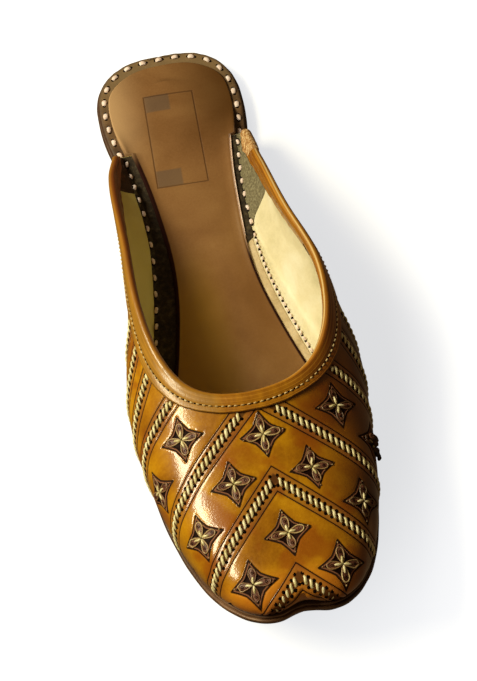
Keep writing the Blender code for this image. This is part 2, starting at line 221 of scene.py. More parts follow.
def rib_columns():
    """Each column of the ribs' table as a curve over u, 0 at the left back end and 2 at the right one."""
    places = np.arange(2 * len(RIBS) - 1) / (len(RIBS) - 1)
    columns = {name: full_ribs(name) for name in ("station", "height", "lean", "low", "slope", "high")}
    columns["foot"] = full_ribs("foot", -1.0, 2.0)
    columns["facing"] = full_ribs("facing", -1.0, 180.0)
    columns["offset"] = np.array([r.left for r in RIBS] + [-r.right for r in RIBS[-2::-1]])
    return {name: smooth_curve(places, values) for name, values in columns.items()}


RIB_AT = rib_columns()
FOOT_Q = np.linspace(BACK_Q, 2.0, CURVE_SAMPLES)
FOOT_LENGTH = arc_lengths(np.stack(edge(FOOT_Q, upper_inset(edge_station(FOOT_Q))), axis=1))


def foot_q(share):
    """q on the outline, and the side, for a share 0 to 2 of the way round the upper's foot."""
    side = np.where(share <= 1, 1.0, -1.0)
    share = np.where(share <= 1, share, 2 - share)
    return np.interp(share * FOOT_LENGTH[-1], FOOT_LENGTH, FOOT_Q), side


LEFT_LEAN, RIGHT_LEAN = 1.2, 1.8
SAG = 2.1


def worn_lean(u):
    """How far wear has pushed the quarters' collar to the left, mm: the left one out, the right one in."""
    return (LEFT_LEAN * ease(u / 0.1) * ease((0.6 - u) / 0.3)
            + RIGHT_LEAN * ease((u - 1.45) / 0.35) * ease((2.0 - u) / 0.15))


def belly(u):
    """How far the wall has sagged out over the sole's edge: ahead on the left and round the toe."""
    held_by_tip = 1 - 0.3 * ease(1 - np.abs(u - 1) / 0.06)
    return SAG * ease((u - 0.44) / 0.44) * ease((1.22 - u) / 0.17) * held_by_tip


def wall_point(u, v):
    """A place of the shell's outer face. v goes from its foot, 0, to the collar, 1, and u round it from the
    left back end, 0, past the tip of the toe, 1, to the right back end, 2."""
    u, v = np.broadcast_arrays(np.asarray(u, float), np.asarray(v, float))
    q, side = foot_q(RIB_AT["foot"](u))
    offset, station = edge(q, upper_inset(edge_station(q)))
    facing = np.radians(RIB_AT["facing"](u))
    out = np.stack([np.cos(facing), np.sin(facing), 0 * facing], axis=-1)
    foot = np.stack([offset * side, station, sole_top(station) + GAP + FOOT_RADIUS], axis=-1)
    collar_offset = RIB_AT["offset"](u) + worn_lean(u)
    collar = np.stack([collar_offset, RIB_AT["station"](u), RIB_AT["height"](u)], axis=-1)
    lean = np.radians(RIB_AT["lean"](u))[..., None]
    slope = np.radians(RIB_AT["slope"](u))[..., None]
    foot = foot + 0.8 * belly(u)[..., None] * out
    lower = foot + RIB_AT["low"](u)[..., None] * (np.sin(lean) * out + np.cos(lean) * UP)
    lower = lower + 0.7 * belly(u)[..., None] * out
    higher = collar + RIB_AT["high"](u)[..., None] * (np.cos(slope) * out - np.sin(slope) * UP)
    v = v[..., None]
    w = 1 - v
    point = w ** 3 * foot + 3 * w ** 2 * v * lower + 3 * w * v ** 2 * higher + v ** 3 * collar
    point[..., 1] -= notch(point[..., 0], point[..., 1], point[..., 2] - sole_top(point[..., 1]))
    return point


def unit(vectors):
    """The vectors at length 1."""
    return vectors / np.maximum(np.linalg.norm(vectors, axis=-1, keepdims=True), 1e-12)


def wall_frame(u, v):
    """A point of the wall, its outward normal, and the direction down the rib."""
    step = 1e-3
    u, v = np.broadcast_arrays(np.asarray(u, float), np.asarray(v, float))
    along = wall_point(np.minimum(u + step, 2.0), v) - wall_point(np.maximum(u - step, 0.0), v)
    down = wall_point(u, np.maximum(v - step, 0.0)) - wall_point(u, np.minimum(v + step, 1.0))
    return wall_point(u, v), unit(np.cross(down, along)), unit(down)


THROAT_TRIM = 1.4         # how much lower the collar is trimmed at the throat


def throat(u):
    """1 at the throat's front, 0 along the quarters."""
    return ease((u - 0.72) / 0.2) * ease((1.28 - u) / 0.2)


def collar_v(u):
    """v of the collar's edge, which is trimmed a little lower at the throat."""
    rib = np.linalg.norm(wall_point(u, 1.0) - wall_point(u, 0.9), axis=-1) / 0.1
    return 1 - THROAT_TRIM * throat(u) / rib


# --- mesh tools -----------------------------------------------------------------------------------------

class Pile:
    """Points and faces of many small shapes that make one piece."""

    def __init__(self):
        self.points, self.faces, self.count = [], [], 0

    def add(self, points, faces):
        """Puts one more shape on the pile."""
        self.points.append(np.asarray(points, float))
        self.faces.extend([tuple(i + self.count for i in face) for face in faces])
        self.count += len(points)


def add_piece(name, points, faces, material, stands_for=(), marks=None):
    """A piece from shoe millimetres that rides on the shoe. marks are numbers kept at each point."""
    mesh = bpy.data.meshes.new(name)
    mesh.from_pydata(place(points).tolist(), [], faces)
    mesh.materials.append(material)
    for mark, values in (marks or {}).items():
        layer = mesh.attributes.new(mark, "FLOAT", "POINT")
        layer.data.foreach_set("value", np.asarray(values, np.float32).ravel())
    mesh.polygons.foreach_set("use_smooth", [True] * len(mesh.polygons))
    mesh.update()
    piece = bpy.data.objects.new(name, mesh)
    bpy.context.scene.collection.objects.link(piece)
    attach(piece, "root")
    if stands_for:
        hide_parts(*stands_for)
    return piece


def add_pile(name, pile, material):
    """Makes a piece of a pile's shapes."""
    return add_piece(name, np.concatenate(pile.points), pile.faces, material)


def grid_faces(rows, columns, start=0, wrap=False, flip=False):
    """Quads of a grid of points that are listed row by row."""
    faces = []
    for i in range(rows - 1):
        for j in range(columns if wrap else columns - 1):
            k = (j + 1) % columns
            a, b = start + i * columns + j, start + i * columns + k
            c, d = b + columns, a + columns
            faces.append((d, c, b, a) if flip else (a, b, c, d))
    return faces


def shell(outer, inner):
    """A closed sheet from two grids of the same shape: faces and joined points."""
    rows, columns = outer.shape[:2]
    count = rows * columns
    faces = grid_faces(rows, columns) + grid_faces(rows, columns, count, flip=True)
    index = np.arange(count).reshape(rows, columns)
    rim = np.concatenate([index[0], index[1:, -1], index[-1, -2::-1], index[-2:0:-1, 0]]).tolist()
    for a, b in zip(rim, rim[1:] + rim[:1]):
        faces.append((b, a, a + count, b + count))
    return np.concatenate([outer.reshape(-1, 3), inner.reshape(-1, 3)]), faces


def rounded_tube(path, up, width, height, sides=8):
    """An oval tube along a path, closed flat at its ends; width lies flat and height stands up."""
    path, up = np.asarray(path, float), unit(np.asarray(up, float))
    along = unit(np.gradient(path, axis=0))
    side = unit(np.cross(along, up))
    up = np.cross(side, along)
    angle = np.linspace(0, 2 * math.pi, sides, endpoint=False)
    width, height = np.broadcast_to(width, len(path)), np.broadcast_to(height, len(path))
    ring = (path[:, None] + side[:, None] * (np.cos(angle)[None] * width[:, None] / 2)[..., None]
            + up[:, None] * (np.sin(angle)[None] * height[:, None] / 2)[..., None])
    faces = grid_faces(len(path), sides, wrap=True)
    last = (len(path) - 1) * sides
    faces += [tuple(range(sides))[::-1], tuple(range(last, last + sides))]
    return ring.reshape(-1, 3), faces


def lay_stitch(pile, start, end, normal, width, height, bow=0.0, sink=0.5, steps=9, blunt=0.55):
    """One visible stitch of thread or lace: it rises out of one hole, arches over and dives into the next.

    blunt is the width at its ends as a share of the whole width."""
    t = np.linspace(0, 1, steps)
    start, end, normal = np.asarray(start), np.asarray(end), unit(np.asarray(normal))
    side = unit(np.cross(end - start, normal))
    arch = np.sin(math.pi * t) ** 0.55
    path = (start[None] * (1 - t)[:, None] + end[None] * t[:, None]
            + normal[None] * (arch * (height * 0.5 + sink) - sink)[:, None]
            + side[None] * (bow * np.sin(2 * math.pi * t))[:, None])
    full = blunt + (1 - blunt) * np.sin(math.pi * t) ** 0.7
    points, faces = rounded_tube(path, np.repeat(normal[None], steps, 0), width * full, height * full)
    pile.add(points, faces)


def punch_hole(pile, centre, normal, radius, stretch=1.0, along=None, sides=12, lift=0.05):
    """The dark mouth of a punched hole: a shallow dish that lies on the leather, painted near black as the
    shade inside the hole.
    """
    normal = unit(np.asarray(normal, float))
    along = AHEAD if along is None else np.asarray(along, float)
    along = unit(along - normal * (along @ normal))
    side = np.cross(normal, along)
    angle = np.linspace(0, 2 * math.pi, sides, endpoint=False)[:, None]
    rim = along * np.cos(angle) * radius * stretch + side * np.sin(angle) * radius
    points = np.concatenate([centre + rim - normal * 0.15, centre + rim * 0.96 + normal * lift,
                             [centre + normal * lift * 0.4]])
    faces = [(i, (i + 1) % sides, sides + (i + 1) % sides, sides + i) for i in range(sides)]
    faces += [(sides + i, sides + (i + 1) % sides, 2 * sides) for i in range(sides)]
    faces.append(tuple(range(sides))[::-1])
    pile.add(points, faces)


def soft_noise(points, size, seed):
    """Smooth hills and hollows between -1 and 1, about size mm across: sums of slanted waves."""
    dice = np.random.default_rng(seed)
    total = np.zeros(points.shape[:-1])
    for _ in range(14):
        way = unit(dice.normal(size=3)) * dice.uniform(0.6, 1.5) * 2 * math.pi / size
        total += np.sin(points @ way + dice.uniform(0, 2 * math.pi))
    return total / 5.0


# --- the decoration's layout on the shell ---------------------------------------------------------------

# A braid's middle line, by three places on the shell's left half: where it starts, its middle and its foot.
Braid = namedtuple("Braid", "top_u top_v mid_u mid_v foot_u foot_v")
BRAIDS = [
    Braid(1.000, 0.345, 0.977, 0.12, 0.970, 0.00),    # at the tip of the toe
    Braid(1.000, 0.745, 0.960, 0.585, 0.910, 0.00),   # the middle chevron
    Braid(1.000, 0.985, 0.907, 0.71, 0.853, 0.00),    # the chevron under the collar
    Braid(0.816, 0.96, 0.801, 0.70, 0.790, 0.00),     # and the slanted ones back along the quarter
    Braid(0.692, 0.97, 0.736, 0.58, 0.752, 0.00),
    Braid(0.603, 0.96, 0.672, 0.54, 0.705, 0.00),
    Braid(0.522, 0.97, 0.592, 0.50, 0.643, 0.00),
    Braid(0.438, 0.97, 0.495, 0.48, 0.535, 0.00),
]
CHEVRONS = 3              # the first braids, whose left and right halves meet in the middle
BAND_HALF = 3.15          # from the middle of a band to its tooled lines
BRAID_HALF = 1.47         # from the middle of a braid to its holes
BRAID_PITCH = 2.27        # from hole to hole

# A star's middle on the left half, by u and v. low is how far below the shell's foot it lies, mm, turn is in
# degrees, and size is a share of the usual one.
Star = namedtuple("Star", "u v low turn size")
STARS = [
    Star(1.000, 0.880, 0.0, 2.0, 1.00), Star(1.000, 0.552, 0.0, -3.0, 1.02),
    Star(0.955, 0.730, 0.0, 1.0, 0.99), Star(0.910, 0.450, 0.0, -2.0, 1.00),
    Star(0.870, 0.790, 0.0, 3.0, 1.00), Star(0.830, 0.410, 0.0, -4.0, 0.98),
    Star(0.960, 0.320, 0.0, 0.0, 1.03), Star(0.882, 0.000, 5.2, 0.0, 1.00),
    Star(0.805, 0.000, 4.6, 0.0, 1.00), Star(0.935, 0.000, 7.0, 3.0, 1.00),
]
STAR_TIP = 8.1            # from a star's middle to its points
STAR_WAIST = 4.3          # and to the corners between them

OUTER_COLUMNS, OUTER_ROWS = 600, 120
FAR = 99.0                # mm, more than any distance that matters


def braid_line(braid, side, samples=140):
    """Places, normals and lengths along a braid on the left, side 1, or the right, side -1.

    It was sewn straight on flat hide, so on the shell it lies in one plane, through its three places."""
    u = np.array([braid.top_u, braid.mid_u, braid.foot_u])
    v = np.array([braid.top_v, braid.mid_v, braid.foot_v])
    top, middle, foot = wall_point(u, v)
    chord = unit(foot - top)
    reach = (foot - top) @ chord
    plane = unit(np.cross(middle - top, chord))
    t = np.linspace(0, 1, samples)
    bend = ((middle - top) @ chord / reach, 1.0)
    u, v = (np.interp(t, (0.0,) + bend, values) for values in (u, v))
    step = 1e-4
    for _ in range(14):   # Newton's steps, to an even place along the chord and to the plane
        point = wall_point(u, v)
        by_u = (wall_point(u + step, v) - point) / step
        by_v = (wall_point(u, v + step) - point) / step
        ahead, off = (point - top) @ chord - reach * t, (point - top) @ plane
        a, b, c, d = by_u @ chord, by_v @ chord, by_u @ plane, by_v @ plane
        size = a * d - b * c
        size = np.where(np.abs(size) < 1.0, np.copysign(1.0, size), size)
        u = u - np.clip((ahead * d - off * b) / size, -0.02, 0.02)
        v = np.clip(v - np.clip((off * a - ahead * c) / size, -0.08, 0.08), 0.0, 1.0)
    u = u if side > 0 else 2 - u
    point, normal, _ = wall_frame(u, v)
    return point, normal, arc_lengths(point)


def dense_columns():
    """Columns of the shell's outer face, closer together over the vamp than along the quarters."""
    u = np.linspace(0, 2, 2001)
    line = wall_point(u, 0.45)
    weight = 1.0 + 0.9 * ease((line[:, 1] - 150) / 40)
    length = np.concatenate([[0], np.cumsum(np.linalg.norm(np.diff(line, axis=0), axis=1) * weight[1:])])
    return np.interp(np.linspace(0, length[-1], OUTER_COLUMNS + 1), length, u)


OUTER_U = dense_columns()
OUTER_V = np.linspace(0, 1, OUTER_ROWS + 1)
OUTER_BASE, OUTER_NORMAL, _ = wall_frame(OUTER_U[:, None], OUTER_V[None, :] * collar_v(OUTER_U)[:, None])


def star_frames():
    """Each star's middle, its axes across and along the shoe, its normal, its size and its low."""
    frames = []
    dice = np.random.default_rng(11)
    for star in STARS:
        for side in ((1,) if star.u == 1.0 else (1, -1)):
            point, normal, down = wall_frame(star.u if side > 0 else 2 - star.u, star.v)
            point = point + down * star.low
            ahead = unit(AHEAD - normal * (AHEAD @ normal))
            turn = math.radians(star.turn * side + dice.uniform(-2, 2))
            across = np.cross(ahead, normal)
            ahead, across = (ahead * math.cos(turn) + across * math.sin(turn),
                             across * math.cos(turn) - ahead * math.sin(turn))
            frames.append((point, across, ahead, normal, star.size * dice.uniform(0.98, 1.02), star.low))
    return frames


STAR_FRAMES = star_frames()


def star_distance(x, y):
    """Distance outside, or less than 0 inside, a four-pointed star with hollow sides."""
    x, y = np.abs(x), np.abs(y)
    x, y = np.maximum(x, y), np.minimum(x, y)
    corner = STAR_WAIST / math.sqrt(2)
    way = np.array([corner - STAR_TIP, corner])
    length = np.hypot(*way)
    way /= length
    along = np.clip((x - STAR_TIP) * way[0] + y * way[1], 0, length)
    near = np.hypot(x - STAR_TIP - along * way[0], y - along * way[1])
    outside = (x - STAR_TIP) * way[1] - y * way[0]
    hollow = 0.12 * np.sin(math.pi * along / length)
    return np.where(outside > 0, near, -near) + hollow


def layout_marks():
    """For each point of the outer face: distance to a band's middle, and to a star's outline."""
    points = OUTER_BASE.reshape(-1, 3)
    band = np.full(len(points), FAR)
    for side in (1, -1):
        rows = [braid_line(braid, side)[0] for braid in BRAIDS]
        for i in range(CHEVRONS):
            first, step = rows[i][0], rows[i][0] - rows[i][3]
            ahead = first + unit(step)[None] * np.arange(0.3, 12.0, 0.3)[:, None]
            rows[i] = np.concatenate([ahead[::-1], rows[i]])
        samples = np.concatenate(rows)
        tree = KDTree(len(samples))
        for i, sample in enumerate(samples):
            tree.insert(sample, i)
        tree.balance()
        mine = np.flatnonzero(points[:, 0] * side >= (0 if side > 0 else 1e-9))
        band[mine] = [tree.find(points[i])[2] for i in mine]
    star = np.full(len(points), FAR)
    for middle, across, ahead, normal, size, _ in STAR_FRAMES:
        away = points - middle
        near = np.flatnonzero(np.linalg.norm(away, axis=1) < 14)
        distance = star_distance(away[near] @ across / size, away[near] @ ahead / size)
        depth = np.abs(away[near] @ normal)
        star[near] = np.minimum(star[near], np.where(depth < 7, distance, FAR))
    return band.reshape(OUTER_BASE.shape[:2]), np.minimum(star, 12.0).reshape(OUTER_BASE.shape[:2])


BAND, STAR = layout_marks()
RISE = np.stack([arc_lengths(column) for column in OUTER_BASE])      # up the wall from its foot


# --- materials ------------------------------------------------------------------------------------------

def linear(hex_colour):
    """An sRGB hex colour as the linear red, green, blue and alpha that a shader takes."""
    values = [int(hex_colour[i:i + 2], 16) / 255 for i in (1, 3, 5)]
    return tuple(c / 12.92 if c <= 0.04045 else ((c + 0.055) / 1.055) ** 2.4 for c in values) + (1.0,)


def feed(tree, node, inputs):
    """Sets a node's inputs, by name or number, to values or to the outputs that feed them."""
    for key, value in inputs.items():
        if isinstance(value, bpy.types.NodeSocket):
            tree.links.new(value, node.inputs[key])
        else:
            node.inputs[key].default_value = value


def add_node(tree, kind, inputs=None, out=0, **settings):
    """Adds a node with its settings and links, and gives one of its outputs."""
    node = tree.nodes.new("ShaderNode" + kind)
    for name, value in settings.items():
        setattr(node, name, value)
    feed(tree, node, inputs or {})
    return node.outputs[out]


class Finish:
    """A material as its maker lays it on: the hide, thread or lace itself, and over it stains and wear.

    Its colour drifts through the stops over mottle mm, and its relief is depth mm deep, of grain mm and with
    pits mm apart. Real pores lie 0.1 to 0.3 mm apart, too fine to show, so they are drawn coarser than that.
    """

    def __init__(self, name, stops, mottle, grain, pits, roughness, rough_spread=0.08, coat=0.0,
                 coat_rough=0.2, coat_ior=1.5, depth=0.12, stretch=(1.0, 1.0, 1.0), specular=0.5):
        self.material = bpy.data.materials.new(name)
        self.material.use_nodes = True
        self.tree = self.material.node_tree
        self.coat, self.coat_rough, self.coat_ior, self.specular = coat, coat_rough, coat_ior, specular
        self.here = self.node("TexCoord", out="Object")
        self.place = self.node("Mapping", {0: self.here, 3: tuple(share / MM for share in stretch)})
        drift = self.node("TexNoise", {"Vector": self.place, "Scale": 1 / mottle, "Detail": 3.0,
                                       "Roughness": 0.55, "Distortion": 0.4})
        fine = self.node("TexNoise", {"Vector": self.place, "Scale": 1 / grain, "Detail": 4.0,
                                      "Roughness": 0.6})
        pores = self.node("TexVoronoi", {"Vector": self.place, "Scale": 1 / pits})
        self.colour = self.node("ValToRGB", {0: self.total(0.0, (drift, 0.82), (fine, 0.18))})
        elements = self.colour.node.color_ramp.elements
        while len(elements) < len(stops):
            elements.new(0.5)
        for element, (at, hex_colour) in zip(elements, stops):
            element.position, element.color = at, linear(hex_colour)
        self.height = self.total(0.0, (fine, 0.6 * depth), (pores, 0.4 * depth))
        self.rough = self.node("MapRange", {0: fine, 1: 0.3, 2: 0.7, 3: roughness - rough_spread,
                                            4: roughness + rough_spread})

    def node(self, kind, inputs=None, out=0, **settings):
        """add_node() in this material."""
        return add_node(self.tree, kind, inputs, out, **settings)

    def axes(self):
        """The frame's x and y, in mm."""
        in_mm = self.node("Mapping", {0: self.here, 3: (1 / MM,) * 3})
        return self.node("SeparateXYZ", {0: in_mm}, out=slice(2))

    def mark(self, name):
        """A number kept at each point of the mesh, such as its distance to a tooled line."""
        return self.node("Attribute", out="Fac", attribute_name=name)

    def total(self, start, *terms):
        """The start and the (value, weight) terms, added up."""
        for value, weight in terms:
            start = self.node("Math", {0: value, 1: weight, 2: start}, operation="MULTIPLY_ADD")
        return start

    def where(self, *limits):
        """A mask from 0 to 1: the product of its limits. A limit is a share, another mask, or (value, full,
        none), which is 1 as far as the value full and falls smoothly to 0 at the value none."""
        mask = None
        for limit in limits:
            if isinstance(limit, tuple):
                value, full, none = limit
                limit = self.node("MapRange", {0: value, 1: full, 2: none, 3: 1.0, 4: 0.0},
                                  interpolation_type="SMOOTHSTEP")
            mask = limit if mask is None else self.node("Math", {0: mask, 1: limit}, operation="MULTIPLY")
        return mask

    def most(self, first, *others):
        """The highest of several values."""
        for other in others:
            first = self.node("Math", {0: first, 1: other}, operation="MAXIMUM")
        return first

    def away(self, value, middle):
        """How far a value is from the middle."""
        return self.node("Math", {0: self.total(-middle, (value, 1.0))}, operation="ABSOLUTE")

    def line(self, value, middle, half, soft):
        """A mask of a line where the value is near its middle, for a line 2 * half wide."""
        return self.where((self.away(value, middle), half - soft, half + soft))

    def stain(self, hex_colour, *limits):
        """Lays another colour over the hide, within the limits."""
        self.colour = self.node("Mix", {0: self.where(*limits), 6: self.colour, 7: linear(hex_colour)},
                                out=2, data_type="RGBA")

    def done(self):
        """Feeds the shader with the colour, the gloss, and the relief in mm."""
        bump = self.node("Bump", {"Height": self.height, "Strength": 1.0, "Distance": MM})
        feed(self.tree, self.tree.nodes["Principled BSDF"], {
            "Base Color": self.colour, "Roughness": self.rough, "Specular IOR Level": self.specular,
            "Coat Weight": self.coat, "Coat Roughness": self.coat_rough, "Coat IOR": self.coat_ior,
            "Normal": bump, "Coat Normal": bump})
        return self.material


def shell_leather():
    """Vegetable-tanned cowhide, dyed tan, tooled by hand and burnished with wax: a warm uneven brown with
    near-black tooled lines and a clear soft gloss. It is darker along the foot, with dirt and painted shade
    in the channels under the braids, painted shade down the right flank and painted light on the toe's tip."""
    hide = Finish("burnished_tan_cowhide",
                  [(0.32, "#8C5602"), (0.43, "#A66C03"), (0.54, "#BC8205"), (0.66, "#D2980E")],
                  mottle=19.0, grain=1.0, pits=0.8, roughness=0.42, rough_spread=0.07, coat_rough=0.17,
                  coat_ior=1.62, depth=0.045, specular=0.12)
    x, y = hide.axes()
    band, star, rise, shade = (hide.mark(name) for name in ("band", "star", "rise", "shade"))
    blotch = hide.node("TexNoise", {"Vector": hide.place, "Scale": 1 / 13.0, "Detail": 2.5})
    hide.stain("#964C03", 0.7, (blotch, 0.36, 0.52))
    hide.stain("#8C3E04", 0.6, (x, 32.0, 6.0))                 # redder and darker down the right flank: painted shade, away from the lamps
    # painted shade, strongest on the right flank
    hide.stain("#3A1402", 0.9, shade)
    hide.stain("#4A2208", 0.6, (rise, 0.3, 1.6))               # darker along the foot, next to the sole
    hide.stain("#DC8420", 0.55, (y, -118.0, -111.0), (x, 12.0, 20.0), (rise, 1.0, 0.4))     # painted light on the toe's tip, which faces away from the lamps
    hide.stain("#8A5530", 0.4, (band, BAND_HALF - 0.25, BAND_HALF + 0.05))
    hide.stain("#3B2112", 0.8, (band, 0.9, 1.7))               # the channel under a braid: dirt, and painted shade between the turns
    hide.stain("#8E5E44", (star, -0.12, 0.12))
    hide.stain("#1C0604", (star, -1.05, -0.7))                 # the floor of a star, inside its pale rim
    hide.stain("#6E3410", 0.4, hide.line(band, BAND_HALF, 0.4, 0.4))
    lines = hide.most(hide.line(band, BAND_HALF, 0.20, 0.12), hide.line(star, -0.05, 0.32, 0.16),
                      hide.line(star, -0.95, 0.2, 0.14))
    hide.stain("#160704", 0.97, lines)
    hide.height = hide.total(hide.height, (lines, -0.12))
    dull = hide.most(lines, hide.where((star, -0.2, 0.1)), hide.where((band, 1.2, 2.0)))
    hide.coat = hide.total(0.85, (dull, -0.85))
    hide.rough = hide.total(hide.rough, (dull, 0.25))
    return hide.done()


def fold_leather():
    """The collar's strip: the same hide, skived thin and folded. Its cut edge is dark with wax, and it is
    streaked along its length. Its crest is lighter, rubbed and with a painted highlight, and a painted glint
    runs along it on the right; painted shade darkens its inside and its right."""
    hide = Finish("folded_tan_cowhide_strip",
                  [(0.30, "#8A5406"), (0.46, "#A26808"), (0.60, "#B67A0C"), (0.72, "#C68A16")],
                  mottle=7.0, grain=0.8, pits=0.8, roughness=0.36, rough_spread=0.06, coat=0.35,
                  coat_rough=0.18, depth=0.05, stretch=(1.7, 0.4, 1.4))
    x, y = hide.axes()
    cut, crest, shade = (hide.mark(name) for name in ("cut", "crest", "shade"))
    lanes = hide.node("CombineXYZ", {
        0: hide.total(0.0, (crest, 2.4)), 1: hide.total(0.0, (cut, 1.2)), 2: hide.total(0.0, (y, 0.018))})
    streak = hide.node("TexNoise", {"Vector": lanes, "Scale": 1.0, "Detail": 3.0})
    right = hide.where((x, 15.29, 8.24))
    strong = hide.total(0.36, (right, 0.34))
    hide.stain("#6E3A05", strong, (streak, 0.40, 0.52))
    hide.stain("#E2A03C", strong, (streak, 0.64, 0.52))
    hide.stain("#A07A2C", 0.5, (x, -14.12, -9.41))
    # painted shade: the strip's inside and its right, away from the lamps
    hide.stain("#6A2806", 0.9, shade)
    # lighter along the crest: rubbed, with a painted highlight
    hide.stain("#C88A30", 0.55, (crest, 0.2, 1.5), hide.total(1.0, (shade, -1.0)))
    hide.stain("#F4D490", 0.75, (crest, 0.14, 0.36), right)    # a painted glint along the crest on the right
    hide.stain("#3A1508", 0.92, (cut, 0.1, 0.55))
    return hide.done()


def lining_skin():
    """Sheepskin lining, undyed: matt, cream, with fine creases, and painted a deeper yellow on the left, the
    warm tint of the shade there.
    """
    skin = Finish("cream_sheepskin", [(0.32, "#D4CAA2"), (0.48, "#E6DCB8"), (0.66, "#F0EAD0")],
                  mottle=16.0, grain=1.0, pits=0.9, roughness=0.62, depth=0.08)
    x, _ = skin.axes()
    # painted shade: a warmer yellow on the left wall, which faces away from the lamps
    skin.stain("#E8DC7E", 0.9, (x, -6.0, 2.0))
    return skin.done()


def petal_lace():
    """Gilt leather lace, tarnished brown: pale where it has kept its gilding, and darker down the right with
    painted shade.
    """
    lace = Finish("tarnished_gilt_lace", [(0.38, "#6E4E36"), (0.50, "#9C7C50"), (0.62, "#CDB681")],
                  mottle=21.0, grain=0.35, pits=0.4, roughness=0.4, coat=0.1, depth=0.04)
    x, _ = lace.axes()
    # painted shade down the right
    lace.stain("#3E2412", 0.8, (x, 28.0, 10.0))
    return lace.done()


def sole_edge(name, stops, mottle):
    """Sole leather, compressed and stacked. Its edge is stained nearly black and waxed, a dark that also
    serves as painted shade on the right of the toe. Round the front left of the toe it is left brown, painted
    lighter than the lamps light it there."""
    hide = Finish(name, stops, mottle, grain=0.6, pits=0.7, roughness=0.5, coat=0.15, depth=0.08,
                  stretch=(0.35, 0.35, 2.2))
    x, y = hide.axes()
    # dark stain and painted shade everywhere but round the front left of the toe, where the light stops stay
    # as painted light
    hide.stain("#3A2010", hide.total(0.8, (hide.where((y, -116.0, -92.0), (x, 2.0, 16.0)), -0.8)))
    return hide.done()


def rim_hide():
    """The top of the sole that shows round its edge: grey brown, painted lighter at the back of the heel
    where the light falls, and stained dark further forward.
    """
    hide = Finish("grey_brown_sole_grain", [(0.34, "#453120"), (0.50, "#5C4229"), (0.66, "#765A3C")],
                  mottle=6.0, grain=0.7, pits=0.8, roughness=0.6, depth=0.05)
    _, y = hide.axes()
    # painted light at the back of the heel
    hide.stain("#927A56", 0.6, (y, 122.0, 92.0))
    hide.stain("#4A382A", 0.7, (hide.mark("rim"), LAYER_STEP + 0.2, LAYER_STEP + 1.6))
    hide.stain("#4E3020", (y, 60.0, 84.0))
    return hide.done()


STAMP_HALF = (10.1, 23.0)  # the plain frame stamped in the sock, half its width and length
STAMP_MIDDLE = (1.5, 46.0)
STAMP_TURN = math.radians(-3.6)
STAMP_ENDS = [(4.9, 19.2), (4.9, -18.8)]  # the middles of its two shaded corners
CORNER_HALF = (5.2, 4.2)


def sock_hide():
    """Smooth bag hide, dyed mid brown, its cut edge painted dark. A plain frame with two shaded corners is
    stamped blind in the heel. Painted sheen lightens the left of the heel and painted shade darkens its
    right;
    painted light lifts the shadow ahead on the left."""
    hide = Finish("brown_bag_hide_sock",
                  [(0.30, "#704C2A"), (0.46, "#845E39"), (0.60, "#936D44"), (0.74, "#A27D50")],
                  mottle=38.0, grain=0.8, pits=0.7, roughness=0.42, rough_spread=0.05, coat_rough=0.32,
                  depth=0.016, specular=0.16)
    x, y = hide.axes()
    middle = tuple(place([*STAMP_MIDDLE, 0.0]).tolist())
    stamp = hide.node("Mapping", {0: hide.here, 1: middle, 2: (0.0, 0.0, STAMP_TURN), 3: (MM,) * 3},
                      vector_type="TEXTURE")
    stamp_axes = hide.node("SeparateXYZ", {0: stamp}, out=slice(2))

    def beyond(middle, half):
        """How far outside a box centred on middle, in the stamp's own axes."""
        return hide.most(*(hide.total(-reach, (hide.away(axis, centre), 1.0))
                           for axis, centre, reach in zip(stamp_axes, middle, half)))

    for across, along in STAMP_ENDS:
        hide.stain("#5A5048", 0.55, (beyond((-across, along), CORNER_HALF), -0.6, 0.3))
    heel = hide.where((y, 92.0, 62.0))
    hide.stain("#D8B488", 0.72, heel, (x, -33.0, -6.0))        # worn pale under the foot's outer edge
    hide.stain("#4C2E0C", 0.9, heel, (x, 30.0, -4.0))          # painted sheen on the left of the heel
    smudge = hide.node("TexNoise", {"Vector": hide.place, "Scale": 1 / 17.0, "Detail": 2.0})
    hide.stain("#4A2408", 0.16, (smudge, 0.38, 0.54), (y, 10.0, 60.0))
    hide.stain("#B88C36", 0.8, (x, -10.0, 6.0), (y, -4.0, 34.0))           # painted light ahead on the left, where the left wall's shadow falls
    hide.stain("#6A461C", 0.45, (x, 18.0, -2.0), (y, 30.0, 80.0))          # darker on the right
    frame_line = hide.line(beyond((0.0, 0.0), STAMP_HALF), 0.0, 0.26, 0.18)
    hide.stain("#43291A", 0.62, frame_line)
    rim = hide.mark("rim")
    forward = hide.where((y, 70.0, 84.0))
    left = hide.where((x, -2.0, 2.0))
    covered = hide.most(left, hide.where((y, 18.0, 34.0)))
    painted = hide.where((hide.total(rim, (left, -0.7)), 0.95, 1.4), forward, covered)
    hide.stain("#260A05", painted)
    hide.stain("#DCBBA8", 0.9, (rim, 0.6, 0.9), forward, hide.total(1.0, (covered, -1.0)))     # scraped bare, and painted paler as the edge's highlight
    hide.coat = hide.total(0.12, (painted, -0.12))
    hide.rough = hide.total(hide.rough, (painted, 0.4))
    hide.height = hide.total(hide.height, (frame_line, -0.12))
    return hide.done()


SHELL_LEATHER = shell_leather()
FOLD_SKIN = fold_leather()
LINING_SKIN = lining_skin()
PETAL_LACE = petal_lace()
# The sole's stops are light: painted light for the front of the toe, where the lamps leave it dim.
SOLE_TOP_HIDE = sole_edge("stained_sole_leather", [(0.34, "#543826"), (0.50, "#7A583E"), (0.68, "#9C7A5A")],
                          mottle=5.0)
SOLE_LOW_HIDE = sole_edge("waxed_sole_leather", [(0.34, "#583A26"), (0.50, "#7E5A3E"), (0.68, "#A07C58")],
                          mottle=7.0)
SOLE_RIM = rim_hide()
SOCK_HIDE = sock_hide()
